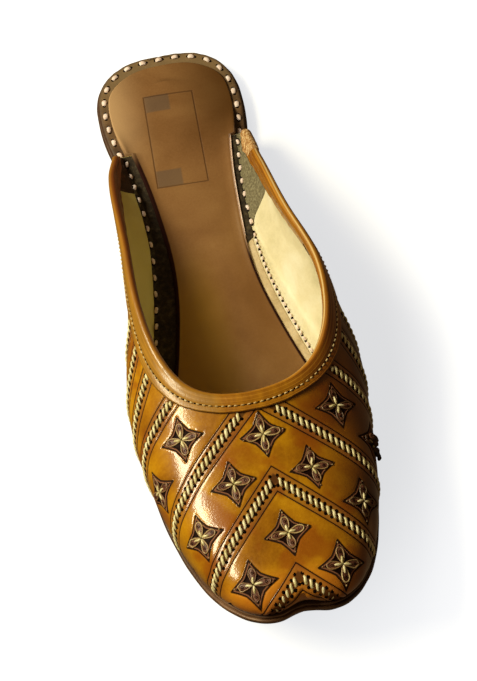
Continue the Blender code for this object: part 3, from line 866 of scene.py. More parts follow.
# The torn flesh side of the hide, where the strip's end is turned back: pale, matt fibres with dark gaps.
RAW_END = Finish("raw_hide_end", [(0.34, "#7A4A20"), (0.50, "#BC8C52"), (0.64, "#F0D6A6")],
                 mottle=1.0, grain=0.5, pits=0.5, roughness=0.8, depth=0.22, stretch=(1.5, 0.45, 1.5)).done()
# Split suede of the seat's patch: a grey-green nap with dark and pale specks.
SUEDE = Finish("grey_green_suede", [(0.36, "#5E563F"), (0.50, "#746C52"), (0.62, "#8C8468")],
               mottle=0.9, grain=0.35, pits=0.4, roughness=0.9, depth=0.06).done()
# Strips split off a thick hide. Stained at the back, they look nearly black, with grey-brown fibres.
DARK_STRIP = Finish("stained_split_strip", [(0.36, "#1E150C"), (0.52, "#33281A"), (0.66, "#4E4430")],
                    mottle=1.8, grain=0.6, pits=0.7, roughness=0.85, depth=0.12).done()
# The same split hide, left undyed ahead on the right: beige and matt, with a faint grain.
PALE_STRIP = Finish("beige_split_strip", [(0.32, "#B09A70"), (0.50, "#D2BC94"), (0.68, "#E4D2B0")],
                    mottle=8.0, grain=0.9, pits=0.8, roughness=0.6, depth=0.06).done()
# Thin hide, dyed through: dark brown all over, a little smoother than the split strips.
END_HIDE = Finish("dark_brown_hide", [(0.34, "#1E1008"), (0.52, "#3A2010"), (0.68, "#5A3418")],
                  mottle=5.0, grain=0.7, pits=0.7, roughness=0.6, depth=0.08).done()
# Lace of scraped goatskin parchment: pale gold, stiff, with a dull shine on each turn.
LACE = Finish("parchment_lace", [(0.32, "#BDAE74"), (0.50, "#E2D69E"), (0.66, "#F6EEC8")],
              mottle=2.4, grain=0.35, pits=0.4, roughness=0.36, coat=0.7, coat_rough=0.3, depth=0.04).done()
# Hide pressed up in each petal, inside its loop of lace: a mauve brown, slightly polished.
PETAL_HIDE = Finish("mauve_brown_petal_hide", [(0.32, "#431E15"), (0.50, "#643A2A"), (0.66, "#8A5C42")],
                    mottle=1.2, grain=0.4, pits=0.5, roughness=0.5, depth=0.05).done()
# Linen thread, waxed and twisted: off-white and matt.
LINEN = Finish("waxed_linen_thread", [(0.34, "#DEC4B4"), (0.50, "#F8E2DA"), (0.66, "#FFF4F2")],
               mottle=1.6, grain=0.3, pits=0.35, roughness=0.6, depth=0.05).done()
# The collar's linen, which hands have yellowed.
COLLAR_THREAD = Finish("yellowed_linen_thread", [(0.34, "#A88A52"), (0.50, "#CDB57E"), (0.66, "#E6D6A8")],
                       mottle=1.6, grain=0.3, pits=0.35, roughness=0.6, depth=0.05).done()
# The sock's bare cut edge: pale pinkish fibres, painted paler still as the highlight along it.
BARE_EDGE_AND_HIGHLIGHT = Finish("bare_cut_hide_and_highlight", [(0.34, "#D8B8A8"), (0.50, "#F0D6CA"), (0.66, "#FFF2EA")],
                   mottle=2.0, grain=0.4, pits=0.4, roughness=0.8).done()
# A punched hole: painted shade, near black, where inside it nothing is lit.
HOLE = Finish("punched_hole", [(0.4, "#0B0503"), (0.6, "#170A05")],
              mottle=2.0, grain=0.5, pits=0.5, roughness=0.95, depth=0.02, specular=0.05).done()


# --- the shell ------------------------------------------------------------------------------------------

# Dents and creases of the worn shell, each between two places of its outer face, mm deep and mm wide.
Crease = namedtuple("Crease", "u0 v0 u1 v1 depth width")
CREASES = [
    Crease(1.000, 0.02, 1.000, 0.20, 0.9, 2.2),       # gathers over the dent in the toe
    Crease(0.982, 0.02, 0.988, 0.15, 0.5, 1.5),
    Crease(1.017, 0.02, 1.012, 0.14, 0.5, 1.5),
    Crease(0.962, 0.03, 0.970, 0.13, -0.5, 2.4),      # and the folds between them
    Crease(1.038, 0.03, 1.030, 0.13, -0.5, 2.4),
    Crease(0.930, 0.10, 0.900, 0.34, 0.35, 5.0),
    Crease(1.070, 0.12, 1.105, 0.36, 0.40, 5.0),
    Crease(0.780, 0.62, 0.850, 0.80, 0.30, 7.0),
    Crease(1.230, 0.55, 1.170, 0.75, 0.35, 7.0),
    Crease(0.330, 0.25, 0.380, 0.60, 0.45, 6.0),      # the quarters bend where they lean out
    Crease(1.640, 0.20, 1.600, 0.62, 0.45, 6.0),
    Crease(0.560, 0.10, 0.640, 0.35, 0.30, 6.0),
]
LEATHER = 1.0             # thickness of the outer hide
GROOVE = 0.22             # depth of a tooled line
LACE_BED = 0.10           # how far the leather sinks under the lacing
STAR_FLOOR = 0.22         # how far the floor of a star is punched down
STAR_RIM = 0.10           # how far its rim stands up
SWELLS = (0.14, 34.0)     # how high the worn hide's unevenness is, and how far across
RIPPLES = (0.03, 9.0)


def shell_relief():
    """How far each point of the outer face stands off the plain shape, mm."""
    points = OUTER_BASE
    relief = SWELLS[0] * soft_noise(points, SWELLS[1], 3) * ease(RISE / 10)
    relief += RIPPLES[0] * soft_noise(points, RIPPLES[1], 4)
    for crease in CREASES:
        t = np.linspace(0, 1, 24)
        line = wall_point(crease.u0 + (crease.u1 - crease.u0) * t, crease.v0 + (crease.v1 - crease.v0) * t)
        near = np.full(points.shape[:2], FAR)
        near_t = np.zeros(points.shape[:2])
        for at, spot in zip(t, line):
            away = np.linalg.norm(points - spot, axis=-1)
            near_t = np.where(away < near, at, near_t)
            near = np.minimum(near, away)
        fade = 0.35 + 0.65 * np.sin(math.pi * near_t) ** 0.7
        relief -= crease.depth * fade * np.exp(-(near / (crease.width / 2)) ** 2)
    groove = np.exp(-((BAND - BAND_HALF) / 0.34) ** 2) + np.exp(-(STAR / 0.36) ** 2)
    relief -= GROOVE * np.minimum(groove, 1.0)
    relief -= LACE_BED * ease((2.2 - BAND) / 0.8)
    relief -= STAR_FLOOR * ease((-STAR - 0.8) / 0.5)
    relief += STAR_RIM * ease((-STAR) / 0.4) * ease((1.2 + STAR) / 0.5)
    return relief * ease(RISE / 0.8)


SHELL_RELIEF = shell_relief()
OUTER_FACE = OUTER_BASE + OUTER_NORMAL * SHELL_RELIEF[..., None]


def shade_marks():
    """Painted shade: darker on the right flank, which faces away from the lamps; and darker low on the wall,
    less so by the toe's dent.
    """
    station, offset = OUTER_BASE[..., 1], OUTER_BASE[..., 0]
    right = ease((-offset - 9) / 25) * ease((station - 96) / 60)
    low = 1 - ease(RISE / 11)
    toe = ease((station - 238) / 14) * (1 - ease(np.abs(offset) / 16))
    drift = 0.5 + 0.5 * soft_noise(OUTER_BASE, 22.0, 8)
    return np.clip(0.92 * right * (0.55 + 0.6 * drift) + 0.30 * low * drift * (1 - toe), 0, 1)


def make_shell():
    """The outer hide: its face, and a back with half as many rows and columns."""
    inner = OUTER_BASE - OUTER_NORMAL * LEATHER
    sparse = inner[::2, ::2]
    rows, columns = OUTER_FACE.shape[:2]
    count = rows * columns
    few_rows, few_columns = sparse.shape[:2]
    faces = grid_faces(rows, columns) + grid_faces(few_rows, few_columns, count, flip=True)
    front = np.arange(count).reshape(rows, columns)
    back = count + np.arange(few_rows * few_columns).reshape(few_rows, few_columns)
    for side in (np.s_[0], np.s_[-1, ::-1], np.s_[::-1, 0], np.s_[:, -1]):
        outer_rim, inner_rim = front[side].tolist(), back[side].tolist()
        for i in range(len(inner_rim) - 1):
            a, b, c = outer_rim[2 * i:2 * i + 3]
            d, e = inner_rim[i], inner_rim[i + 1]
            faces.extend([(b, a, d), (b, d, e), (c, b, e)])
    points = np.concatenate([OUTER_FACE.reshape(-1, 3), sparse.reshape(-1, 3)])

    def both(values):
        """The marks of the face, and for the back, which doesn't show, the highest one."""
        return np.concatenate([values.ravel(), np.full(few_rows * few_columns, values.max())])

    marks = {"band": both(BAND), "star": both(STAR), "rise": both(RISE), "shade": both(shade_marks())}
    return add_piece("shell_hide", points, faces, SHELL_LEATHER, ["upper"], marks)


make_shell()
SHELL_TREE = BVHTree.FromPolygons([Vector(p) for p in OUTER_FACE[::2, ::2].reshape(-1, 3)],
                                  grid_faces(*OUTER_FACE[::2, ::2].shape[:2]))
COARSE_NORMAL = OUTER_NORMAL[::2, ::2]


def onto_shell(points):
    """The nearest places of the shell's outer face, with its normals."""
    columns = COARSE_NORMAL.shape[1] - 1
    found, normals = [], []
    for point in points.reshape(-1, 3):
        spot, _, face, _ = SHELL_TREE.find_nearest(Vector(point))
        i, j = divmod(face, columns)
        found.append(spot)
        normals.append(COARSE_NORMAL[i:i + 2, j:j + 2].mean(axis=(0, 1)))
    return np.array(found).reshape(points.shape), unit(np.array(normals)).reshape(points.shape)


# --- the lacing -----------------------------------------------------------------------------------------

COLLAR_STRIP = 6.8        # width of the strip sewn on outside the collar
COLLAR_LINE = wall_point(np.linspace(0, 2, 800), 1.0)
SLANT = 1.85              # holes that a turn of lace goes forward as it crosses
BRAID_WIDTH, BRAID_HEIGHT = 1.16, 0.74
BRAID_HOLE = 0.58         # radius of its holes


def below_collar(point):
    """How far a point lies below the collar, mm."""
    return np.linalg.norm(COLLAR_LINE - point, axis=1).min()


def make_braids():
    """Slanted turns of lace between two rows of punched holes, from the collar's strip to the foot."""
    lace, holes = Pile(), Pile()
    dice = np.random.default_rng(5)
    for number, braid in enumerate(BRAIDS):
        for side in (1, -1):
            points, normals, lengths = braid_line(braid, side)
            along = unit(np.gradient(points, axis=0))
            across = unit(np.cross(along, normals)) * side
            start = 0.3 if number < CHEVRONS - 1 else -2 * BRAID_PITCH

            def at(length, shift):
                """The place on the shell, and its normal, at a length along the braid and shift beside it."""
                middle = point_at(length, lengths, points) + along[0] * min(length, 0.0)
                return onto_shell(middle + point_at(length, lengths, across) * shift)

            for length in np.arange(start, lengths[-1] - 0.5, BRAID_PITCH):
                shake = dice.uniform(-0.08, 0.08, 2)
                first, first_normal = at(length, BRAID_HALF + shake[0])
                second, second_normal = at(length + SLANT * BRAID_PITCH, -BRAID_HALF + shake[1])
                twin, twin_normal = at(length + (SLANT - 1) * BRAID_PITCH, -BRAID_HALF)
                way = second - first
                above_foot = length + SLANT * BRAID_PITCH < lengths[-1] + 0.6
                clear = [share for share in np.linspace(0.16, 0.84, 18)
                         if below_collar(first + way * share) > COLLAR_STRIP + 0.05]
                if above_foot and clear and clear[-1] - clear[0] > 0.25:
                    lay_stitch(lace, first + way * clear[0], first + way * clear[-1],
                               first_normal + second_normal, BRAID_WIDTH + dice.uniform(-0.14, 0.1),
                               BRAID_HEIGHT, bow=0.2 * side, sink=0.4)
                for spot, normal in ((first, first_normal), (twin, twin_normal)):
                    if below_collar(spot) > COLLAR_STRIP + 0.7 and spot[2] > sole_top(spot[1]) + 1.5:
                        radius = BRAID_HOLE + dice.uniform(-0.04, 0.05)
                        punch_hole(holes, spot, normal, radius, stretch=1.1)
    add_pile("braid_lacing", lace, LACE)
    add_pile("braid_holes", holes, HOLE)


make_braids()


PETAL_HALF = 1.30         # sets how wide a petal's loop is
PETAL_ROOT, PETAL_TIP = 0.5, 5.5   # from a star's middle


def make_stars():
    """In each star four petals looped in lace, with a bright stitch up each, a hole near its tip and a knot
    past it."""
    loops, leaves, stitches, holes = Pile(), Pile(), Pile(), Pile()
    dice = np.random.default_rng(21)
    round_petal = np.linspace(0, 2 * math.pi, 27)
    up_petal = round_petal[1:-1:2] / 2
    for middle, across, ahead, _, size, low in STAR_FRAMES:
        for way, wide in ((ahead, across), (across, ahead), (-ahead, across), (-across, ahead)):
            tip = PETAL_TIP * size * dice.uniform(0.94, 1.05)
            lean = math.radians(dice.uniform(-7, 7))
            way, wide = (way * math.cos(lean) + wide * math.sin(lean),
                         wide * math.cos(lean) - way * math.sin(lean))
            if low and (middle + way * tip * 0.6)[2] < sole_top(middle[1]) + 2.0:
                continue

            def petal(turn):
                """Places up the petal, and how far its side is, at turns that are pi at its tip."""
                share = (1 - np.cos(turn)) / 2
                side = PETAL_HALF * size * np.sin(turn) * (0.45 + 0.70 * share ** 0.8)
                return middle + way * (PETAL_ROOT + (tip - PETAL_ROOT) * share)[:, None], side

            places, side = petal(round_petal)
            path, normals = onto_shell(places + wide * side[:, None])
            loops.add(*rounded_tube(path + normals * 0.18, normals, 0.52, 0.52, sides=8))
            places, side = petal(up_petal)
            path, normals = onto_shell(places)
            leaves.add(*rounded_tube(path + normals * 0.05, normals, 2 * side, 0.7, sides=10))
            knot, knot_normal = onto_shell(middle + way * (STAR_TIP - 1.15) * size)
            lay_stitch(loops, knot - way * 0.3, knot + way * 0.3, knot_normal, 0.5, 0.4, sink=0.1, steps=5)
            near, near_normal = onto_shell(middle + way * 0.3)
            far, far_normal = onto_shell(middle + way * (tip - 2.3 - dice.uniform(0, 0.5)))
            lay_stitch(stitches, near, far, near_normal + far_normal, 0.9 * size, 0.85,
                       bow=dice.uniform(-0.2, 0.2), sink=0.0)
            punch_hole(holes, *onto_shell(middle + way * (tip - 1.5)), 0.46, lift=0.55)
    for name, pile, material in (("star_petals", loops, PETAL_LACE), ("petal_hide", leaves, PETAL_HIDE),
                                 ("star_stitches", stitches, LACE), ("star_holes", holes, HOLE)):
        add_pile(name, pile, material)


make_stars()


# The worn star's scraps, from its middle: mm below and forward, the turn in radians and the size in mm.
Scrap = namedtuple("Scrap", "below forward turn size")
SCRAPS = [Scrap(-2.4, -1.4, 0.5, 2.6), Scrap(0.2, 0.6, -0.6, 3.2), Scrap(2.8, -1.0, 0.9, 2.9),
          Scrap(-0.6, 3.0, 1.4, 2.3), Scrap(5.0, 0.4, 0.2, 2.4)]
SCRAP_STAR = (1.17, 0.41)  # u and v of the outermost star at the right


def make_scraps():
    """On the outermost star at the right some scraps of dark hide stick up off the shell."""
    point, normal, down = wall_frame(*SCRAP_STAR)
    ahead = np.cross(normal, down)
    scraps = Pile()
    t = np.linspace(0, 1, 14)
    for scrap in SCRAPS:
        way = down * math.cos(scrap.turn) + ahead * math.sin(scrap.turn)
        middle = point + down * scrap.below + ahead * scrap.forward + normal * 0.25
        path = (middle + way * (1.25 * scrap.size * (t - 0.5))[:, None]
                + normal * (0.5 * np.sin(math.pi * t))[:, None])
        width = scrap.size * (0.25 + 0.75 * np.sin(math.pi * t) ** 0.7)
        points, faces = rounded_tube(path, np.repeat(normal[None], len(t), 0), width, 0.62 * width, sides=14)
        out = unit(points - points.mean(axis=0))
        scraps.add(points + 0.34 * out * soft_noise(points, 1.3, 71)[:, None], faces)
    add_pile("hide_scraps", scraps, END_HIDE)


make_scraps()


# --- the lining and what lies beside the sock -----------------------------------------------------------

LINING_COLUMNS, LINING_ROWS = 300, 64
LINING_FACE = WALL        # from the shell's outer face to the lining's face
SEAM_REACH = 4.8          # from the sock's edge to the seam through sole and lining
LEFT_SEAM_MORE = 3.2      # and how much further on the left, ahead of the back end
CREASED, BAGGED = (0.16, 7.0), (0.22, 19.0)  # how deep the lining's creases and bags are, and how far across
LINING_THICK = 0.6


def margin_top(station):
    """Height of the upper's turned-in margin, where the lining starts."""
    return sole_top(station) + GAP + WALL


def lining_columns(u):
    """Rows of the lining's face for columns u: from under the sock's edge, round the corner and up."""
    u = np.atleast_1d(np.asarray(u, float))
    q, side = foot_q(RIB_AT["foot"](u))
    sock = np.stack(edge(q, sock_inset(edge_station(q)) + 0.8), axis=-1)
    station = sock[:, 1] - notch(sock[:, 0], sock[:, 1])
    inner = np.column_stack([sock[:, 0] * side, station, margin_top(sock[:, 1])])
    v = np.linspace(0.02, 1.0, 60)
    point, normal, _ = wall_frame(u[:, None], v[None, :] * collar_v(u)[:, None])
    wall = point - normal * LINING_FACE
    floor = margin_top(wall[..., 1])
    columns = []
    for i in range(len(u)):
        keep = wall[i][wall[i, :, 2] > floor[i] + 0.35]
        if len(keep) < 3:
            keep = wall[i][-3:]
        corner = np.array([keep[0, 0], keep[0, 1], margin_top(keep[0, 1])])
        flat = inner[i][None] + (corner - inner[i])[None] * np.linspace(0, 1, 12)[:, None]
        flat[:, 2] = margin_top(flat[:, 1])
        line = np.concatenate([flat[:-1], keep])
        length = arc_lengths(line)
        line = point_at(np.linspace(0, length[-1], LINING_ROWS), length, line)
        for _ in range(6):                   # rounds the corner
            line[1:-1] = (line[:-2] + 2 * line[1:-1] + line[2:]) / 4
        columns.append(line)
    return np.array(columns)


LINING_U = np.linspace(0, 2, LINING_COLUMNS + 1)
LINING = lining_columns(LINING_U)
LINING_GIRTH = np.stack([arc_lengths(column) for column in LINING])
LINING_NORMAL = unit(np.cross(np.gradient(LINING, axis=0), np.gradient(LINING, axis=1)))
INSIDE = np.array([0, 150.0, 60.0])      # a place between the walls, which the lining's normals face
LINING_NORMAL *= np.sign(np.median((LINING_NORMAL * (INSIDE - LINING)).sum(-1)))
LINING_SHEET = np.concatenate([LINING, LINING_NORMAL], axis=-1)


def on_lining(u, girth):
    """Places and normals of the lining's face, by u and the distance up from the sock's edge."""
    u, girth = np.broadcast_arrays(np.asarray(u, float), np.asarray(girth, float))
    shape = u.shape
    at = np.clip(u.ravel() / 2 * LINING_COLUMNS, 0, LINING_COLUMNS - 1e-6)
    column = at.astype(int)
    share = (at - column)[:, None]
    near, far = (np.array([point_at(up, LINING_GIRTH[k], LINING_SHEET[k])
                           for k, up in zip(columns, girth.ravel())]) for columns in (column, column + 1))
    mixed = near * (1 - share) + far * share
    return mixed[:, :3].reshape(shape + (3,)), unit(mixed[:, 3:]).reshape(shape + (3,))


def make_lining():
    """The lining, a little crumpled between its seam and the collar's strip."""
    crumple = CREASED[0] * soft_noise(LINING * np.array([1, 0.6, 1.6]), CREASED[1], 31)
    crumple += BAGGED[0] * soft_noise(LINING, BAGGED[1], 32)
    inside = ease((LINING_GIRTH - 6) / 6) * ease((LINING_GIRTH[:, -1:] - LINING_GIRTH - 4) / 4)
    face = LINING + LINING_NORMAL * (crumple * inside)[..., None]
    back = LINING - LINING_NORMAL * LINING_THICK
    points, faces = shell(back, face)
    return add_piece("lining", points, faces, LINING_SKIN)


make_lining()


def seam_u(station, side):
    """u of the lining's column whose sock edge lies at a station, on the left, 1, or the right, -1."""
    half = LINING_COLUMNS // 2
    stations = LINING[:half + 1, 0, 1]
    u = np.interp(station, stations, LINING_U[:half + 1])
    return u if side > 0 else 2 - u


RIB_GIRTH = LINING_GIRTH[:, -1]
PATCH_BACK = 50.4         # station of the back end of what is sewn on beside the sock
PATCH_STEP, PATCH_COLUMNS = 1.2, 18
PATCH_SUNK, PATCH_SUNK_BACK = 0.2, 1.3   # how far it reaches into the lining, and at its back end
Along = namedtuple("Along", "share station u")


def make_patch(name, side, start, end, low, high, lift, material):
    """A thin patch or strip on the lining, between two stations; low and high give its girth along it."""
    share = np.linspace(0, 1, int((end - start) / PATCH_STEP))
    station = start + (end - start) * share
    along = Along(share, station, seam_u(station, side))
    across = np.linspace(0, 1, PATCH_COLUMNS)
    girth = low(along)[:, None] * (1 - across) + high(along)[:, None] * across
    points, normals = on_lining(along.u[:, None] + 0 * girth, girth)
    rim = np.minimum(np.minimum(across, 1 - across) * 12, np.minimum(share, 1 - share)[:, None] * len(share))
    stand = lift * (0.25 + 0.75 * ease(rim)) + 0.03 * soft_noise(points, 5.0, 41)
    behind = np.full(points.shape[:2], PATCH_SUNK)
    behind[0] = PATCH_SUNK_BACK
    points[0] += unit(points[0] - points[1]) * 0.25
    points, faces = shell(points - normals * behind[..., None], points + normals * stand[..., None])
    return add_piece(name, points, faces, material)


def up_to_fold(along):
    """The girth at which the collar's fold covers the lining."""
    return np.interp(along.u, LINING_U, RIB_GIRTH) - 1.0


def slanted_front(along):
    """Up to the fold, then cut down to nothing at the front: a slanted edge."""
    return np.maximum(up_to_fold(along) * (1 - ease((along.share - 0.60) / 0.40)), 0.4)


def seam_reach(station):
    """Girth of the seam on the left."""
    return SEAM_REACH + LEFT_SEAM_MORE * ease((station - 50) / 22)


def strip_start(along):
    """Where a strip comes out from under the sock."""
    return 0.2 + 0.9 * ease((128 - along.station) / 60)


def make_patches():
    """What is sewn on beside the sock: a strip along each side, and a patch up each quarter's back end."""
    make_patch("dark_strip_left", 1, PATCH_BACK, 176.0, strip_start,
               lambda along: seam_reach(along.station) + 1.1, 0.35, DARK_STRIP)
    make_patch("dark_strip_right", -1, PATCH_BACK, 102.0, strip_start,
               lambda along: SEAM_REACH - 0.2 - 3.2 * ease((along.share - 0.93) / 0.07), 0.42, DARK_STRIP)
    make_patch("suede_patch_right", -1, PATCH_BACK, 98.0,
               lambda along: np.full(len(along.u), SEAM_REACH - 0.4), slanted_front, 0.3, SUEDE)
    make_patch("suede_patch_left", 1, PATCH_BACK, 71.0,
               lambda along: seam_reach(along.station) + 0.9, up_to_fold, 0.3, END_HIDE)
    make_patch("pale_strip_right", -1, 98.0, 172.0, lambda along: np.full(len(along.u), 0.2),
               lambda along: np.full(len(along.u), SEAM_REACH - 0.9), 0.28, PALE_STRIP)


make_patches()


HEEL_SEAM = 3.3           # from the sole's edge to the seam round the heel
HEEL_STITCHES = 9         # on each side of the middle one
# The stitches beside the sock: side, the station where they end, mm from one to the next, and their size.
SideSeam = namedtuple("SideSeam", "side last pitch long wide")
SIDE_SEAMS = [SideSeam(1, 152.0, 6.9, 2.5, 1.35), SideSeam(-1, 98.0, 6.5, 2.1, 1.45)]
SIDE_START = 53.5
SLANT_START, SLANT_END, SLANT_PITCH = 97.0, 176.0, 2.65  # the small slanted stitches ahead on the right


def make_seams():
    """The seam that sews shell, lining and sole: square white stitches at the back, small holes ahead."""
    thread, holes = Pile(), Pile()
    dice = np.random.default_rng(8)

    def big_stitch(point, normal, along, long=2.7, wide=2.0, high=0.8):
        """A flat stitch of thick thread round a point, with a hole at each end."""
        along = unit(along - normal * (along @ normal))
        for end in (-1, 1):
            punch_hole(holes, point + along * end * (long / 2 + 0.2), normal, 0.62, 1.0, along, lift=0.06)
        lay_stitch(thread, point - along * long / 2, point + along * long / 2, normal,
                   wide + dice.uniform(-0.2, 0.15), high, sink=0.3, bow=dice.uniform(-0.15, 0.15), blunt=0.78)

    q = even_steps(-1.0, BACK_Q - 0.02, HEEL_SEAM, 400)
    rim = np.stack(edge(q, HEEL_SEAM), axis=1)
    length = arc_lengths(rim)
    for n in range(-HEEL_STITCHES, HEEL_STITCHES + 1):
        at = abs(n) / HEEL_STITCHES * length[-1]
        side = 1 if n >= 0 else -1
        offset, station = point_at(at, length, rim)
        outward, onward = point_at(at + 0.5, length, rim) - point_at(at - 0.5, length, rim)
        along = np.array([outward * side, onward if n else 0.0, 0.0])
        big_stitch(np.array([offset * side, station, sole_top(station) + 0.1]), UP, along)
    for seam in SIDE_SEAMS:
        stations = np.arange(SIDE_START, seam.last, 0.5)
        reach = (seam_reach(stations) if seam.side > 0 else SEAM_REACH + 0 * stations) + 0.1
        line, normals = on_lining(seam_u(stations, seam.side), reach)
        length = arc_lengths(line)
        for at in np.arange(0.6, length[-1] - 1.0, seam.pitch):
            point = point_at(at, length, line)
            ahead = point_at(at + 0.5, length, line) - point
            normal = point_at(at, length, normals) + 0.7 * UP
            slim = 1.0 - 0.3 * float(ease((at - 70) / 30))
            big_stitch(point + unit(normal) * 0.4, normal, ahead, seam.long * slim, seam.wide * slim)
    for station in np.arange(SLANT_START, SLANT_END, SLANT_PITCH):
        u = float(seam_u(station, -1))
        (start, end), (normal, _) = on_lining(np.array([u, u - 0.012]), SEAM_REACH + 0.1)
        punch_hole(holes, start + normal * 0.1, normal, 0.48, 1.3, lift=0.08)
        lay_stitch(thread, start * 0.75 + end * 0.25, end, normal, 0.95, 0.8, sink=0.2,
                   bow=dice.uniform(-0.2, 0.2))
    add_pile("seam_stitches", thread, LINEN)
    add_pile("seam_holes", holes, HOLE)


make_seams()


# --- the collar's fold ----------------------------------------------------------------------------------

FOLD_COLUMNS = 420
FOLD_IN = 4.6             # width of the strip inside the collar
FOLD_THICK = 0.75         # of the strip
FOLD_CLEAR = 0.10         # between strip and wall
FOLD_STITCH = 3.9         # from the collar's crest down to the row of stitches
STITCH_PITCH, STITCH_LENGTH = 2.2, 1.25
STITCH_HOLE = 1.74        # from where a stitch starts to the hole after it


class Wrap:
    """Rows of points over the collar, from a depth outside, over the crest, to a depth inside."""

    def __init__(self, u):
        self.u = u
        self.v = np.linspace(1.0, 0.0, 140)[None] * collar_v(u)[:, None]
        self.lengths = np.stack([arc_lengths(rib) for rib in wall_point(u[:, None], self.v)])
        self.room = np.minimum(1.0, 0.86 * self.lengths[:, -1] / COLLAR_STRIP) - 0.2 * throat(u)
        self.top, self.top_normal, self.top_down = self.at(0.0)
        self.run = arc_lengths(self.top)

    def at(self, depth):
        """The wall's frame at a depth below the collar on each rib."""
        deep = np.maximum(depth, 0) * self.room
        v = np.array([np.interp(down, lengths, v) for down, lengths, v in zip(deep, self.lengths, self.v)])
        return wall_frame(self.u, v)

    def each(self, value):
        """The value for each rib, ready to scale its vectors."""
        return np.broadcast_to(value, self.u.shape)[:, None]

    def outside(self, depth, stand):
        """Points that stand off the wall's outer face, at a depth below the collar."""
        point, normal, _ = self.at(depth)
        return point + normal * self.each(stand)

    def inside(self, depth, stand):
        """The same off its inner face."""
        point, normal, _ = self.at(depth)
        return point - normal * self.each(WALL + stand)

    def over(self, degrees, stand):
        """Round the crest: 0 degrees is its outside and 180 its inside."""
        turn = math.radians(degrees)
        reach = self.each(WALL / 2 + stand)
        return (self.top - self.top_normal * WALL / 2 + self.top_normal * reach * math.cos(turn)
                - self.top_down * reach * math.sin(turn))


def fold_inside(wrap):
    """How far the strip reaches down inside: further towards the back ends."""
    station = wrap.top[:, 1]
    further = np.where(wrap.u > 1, 1.3 * ease((112 - station) / 24), 0.5 * ease((80 - station) / 20))
    return FOLD_IN + further


def round_ends(loop, run, reach):
    """Draws the last rows of a strip in, so that its ends are rounded."""
    for near in (run, run[-1] - run):
        share = np.clip(near / reach, 0, 1)
        size = 0.42 + 0.58 * np.sqrt(1 - (1 - share) ** 2)
        middle = loop.mean(axis=1, keepdims=True)
        loop = middle + (loop - middle) * size[:, None, None]
    return loop


def closed_strip(name, loop, material, marks=None):
    """A strip from rows of closed sections, capped at both ends."""
    rows, count = loop.shape[:2]
    faces = grid_faces(rows, count, wrap=True)
    half = count // 2
    for end in (0, (rows - 1) * count):
        for j in range(half - 1):
            face = (end + j, end + j + 1, end + count - 2 - j, end + count - 1 - j)
            faces.append(face if end else face[::-1])
    return add_piece(name, loop.reshape(-1, 3), faces, material,
                     ["collar_binding"] if name == "collar_fold" else (), marks)


# A section through the fold: depths outside, where it thins to its cut edge and dips at the seam; degrees
# round the crest; and shares of the way down inside.
FOLD_OUTSIDE = (COLLAR_STRIP, COLLAR_STRIP - 0.35, COLLAR_STRIP - 0.8, 4.7, 4.2, 3.9, 3.6, 3.1, 2.4, 1.7, 1.0,
                0.4)
FOLD_OVER = (0, 30, 60, 90, 120, 150, 180)
FOLD_DOWN = (0.1, 0.25, 0.4, 0.55, 0.7, 0.86, 0.94, 1.0)


def make_fold():
    """The strip from its cut edge outside, up, over the crest and down to its cut edge inside."""
    wrap = Wrap(np.linspace(0, 2, FOLD_COLUMNS + 1))
    ripple = 0.05 * np.sin(wrap.u * 150) + 0.07 * np.sin(wrap.u * 61 + 1)
    reach_in = fold_inside(wrap)
    skins = []
    for far in (FOLD_CLEAR + FOLD_THICK, FOLD_CLEAR):
        face = far > FOLD_CLEAR
        section, cut, crest = [], [], []
        for depth in FOLD_OUTSIDE:
            sewn = 0.22 * math.exp(-((depth - FOLD_STITCH) / 0.55) ** 2) + 0.22 * ease((1.6 - depth) / 1.2)
            thin = 0.4 if depth == COLLAR_STRIP else 0.0
            waved = depth + (ripple if depth > 5.5 else 0)
            section.append(wrap.outside(waved, far - face * (sewn + thin)))
            cut.append(COLLAR_STRIP - depth)
            crest.append(depth + 1.0)
        for degrees in FOLD_OVER:
            section.append(wrap.over(degrees, far - face * 0.22))
            cut.append(9.0)
            crest.append(abs(degrees - 95) / 55)
        for share in FOLD_DOWN:
            depth = reach_in * share + (ripple * 1.8 if share > 0.6 else 0)
            thin = 0.35 if share == 1.0 else 0.0
            lumps = 0.12 * soft_noise(wrap.inside(depth, 0.0), 6.0, 51) * share
            section.append(wrap.inside(depth, far - face * thin + lumps))
            cut.append(FOLD_IN * (1 - share))
            crest.append(share * FOLD_IN + 1.0)
        skins.append((np.stack(section, axis=1), cut, crest))
    (outer, cut, crest), (inner, _, _) = skins
    loop = np.concatenate([outer, inner[:, ::-1]], axis=1)
    loop += (0.05 * soft_noise(loop, 11.0, 52))[..., None] * UP
    loop = round_ends(loop, wrap.run, 2.6)
    offset, station = loop[..., 0], loop[..., 1]
    # painted shade: down the right, away from the lamps, and inside below the crest, fully on the left
    right = ease((-offset - 6) / 26) * ease((station - 110) / 50)
    within = np.zeros(loop.shape[:2])
    shaded = np.array([0.45, 0.85] + [1.0] * 11)       # painted shade from the crest down inside
    start = len(FOLD_OUTSIDE) + 2
    within[:, start:start + len(shaded)] = np.where(wrap.u < 1, 1.0, 0.22)[:, None] * shaded
    marks = {"cut": np.tile(cut + cut[::-1], len(loop)), "crest": np.tile(crest + crest[::-1], len(loop)),
             "shade": np.maximum(0.6 * right, within)}
    closed_strip("collar_fold", loop, FOLD_SKIN, marks)


make_fold()


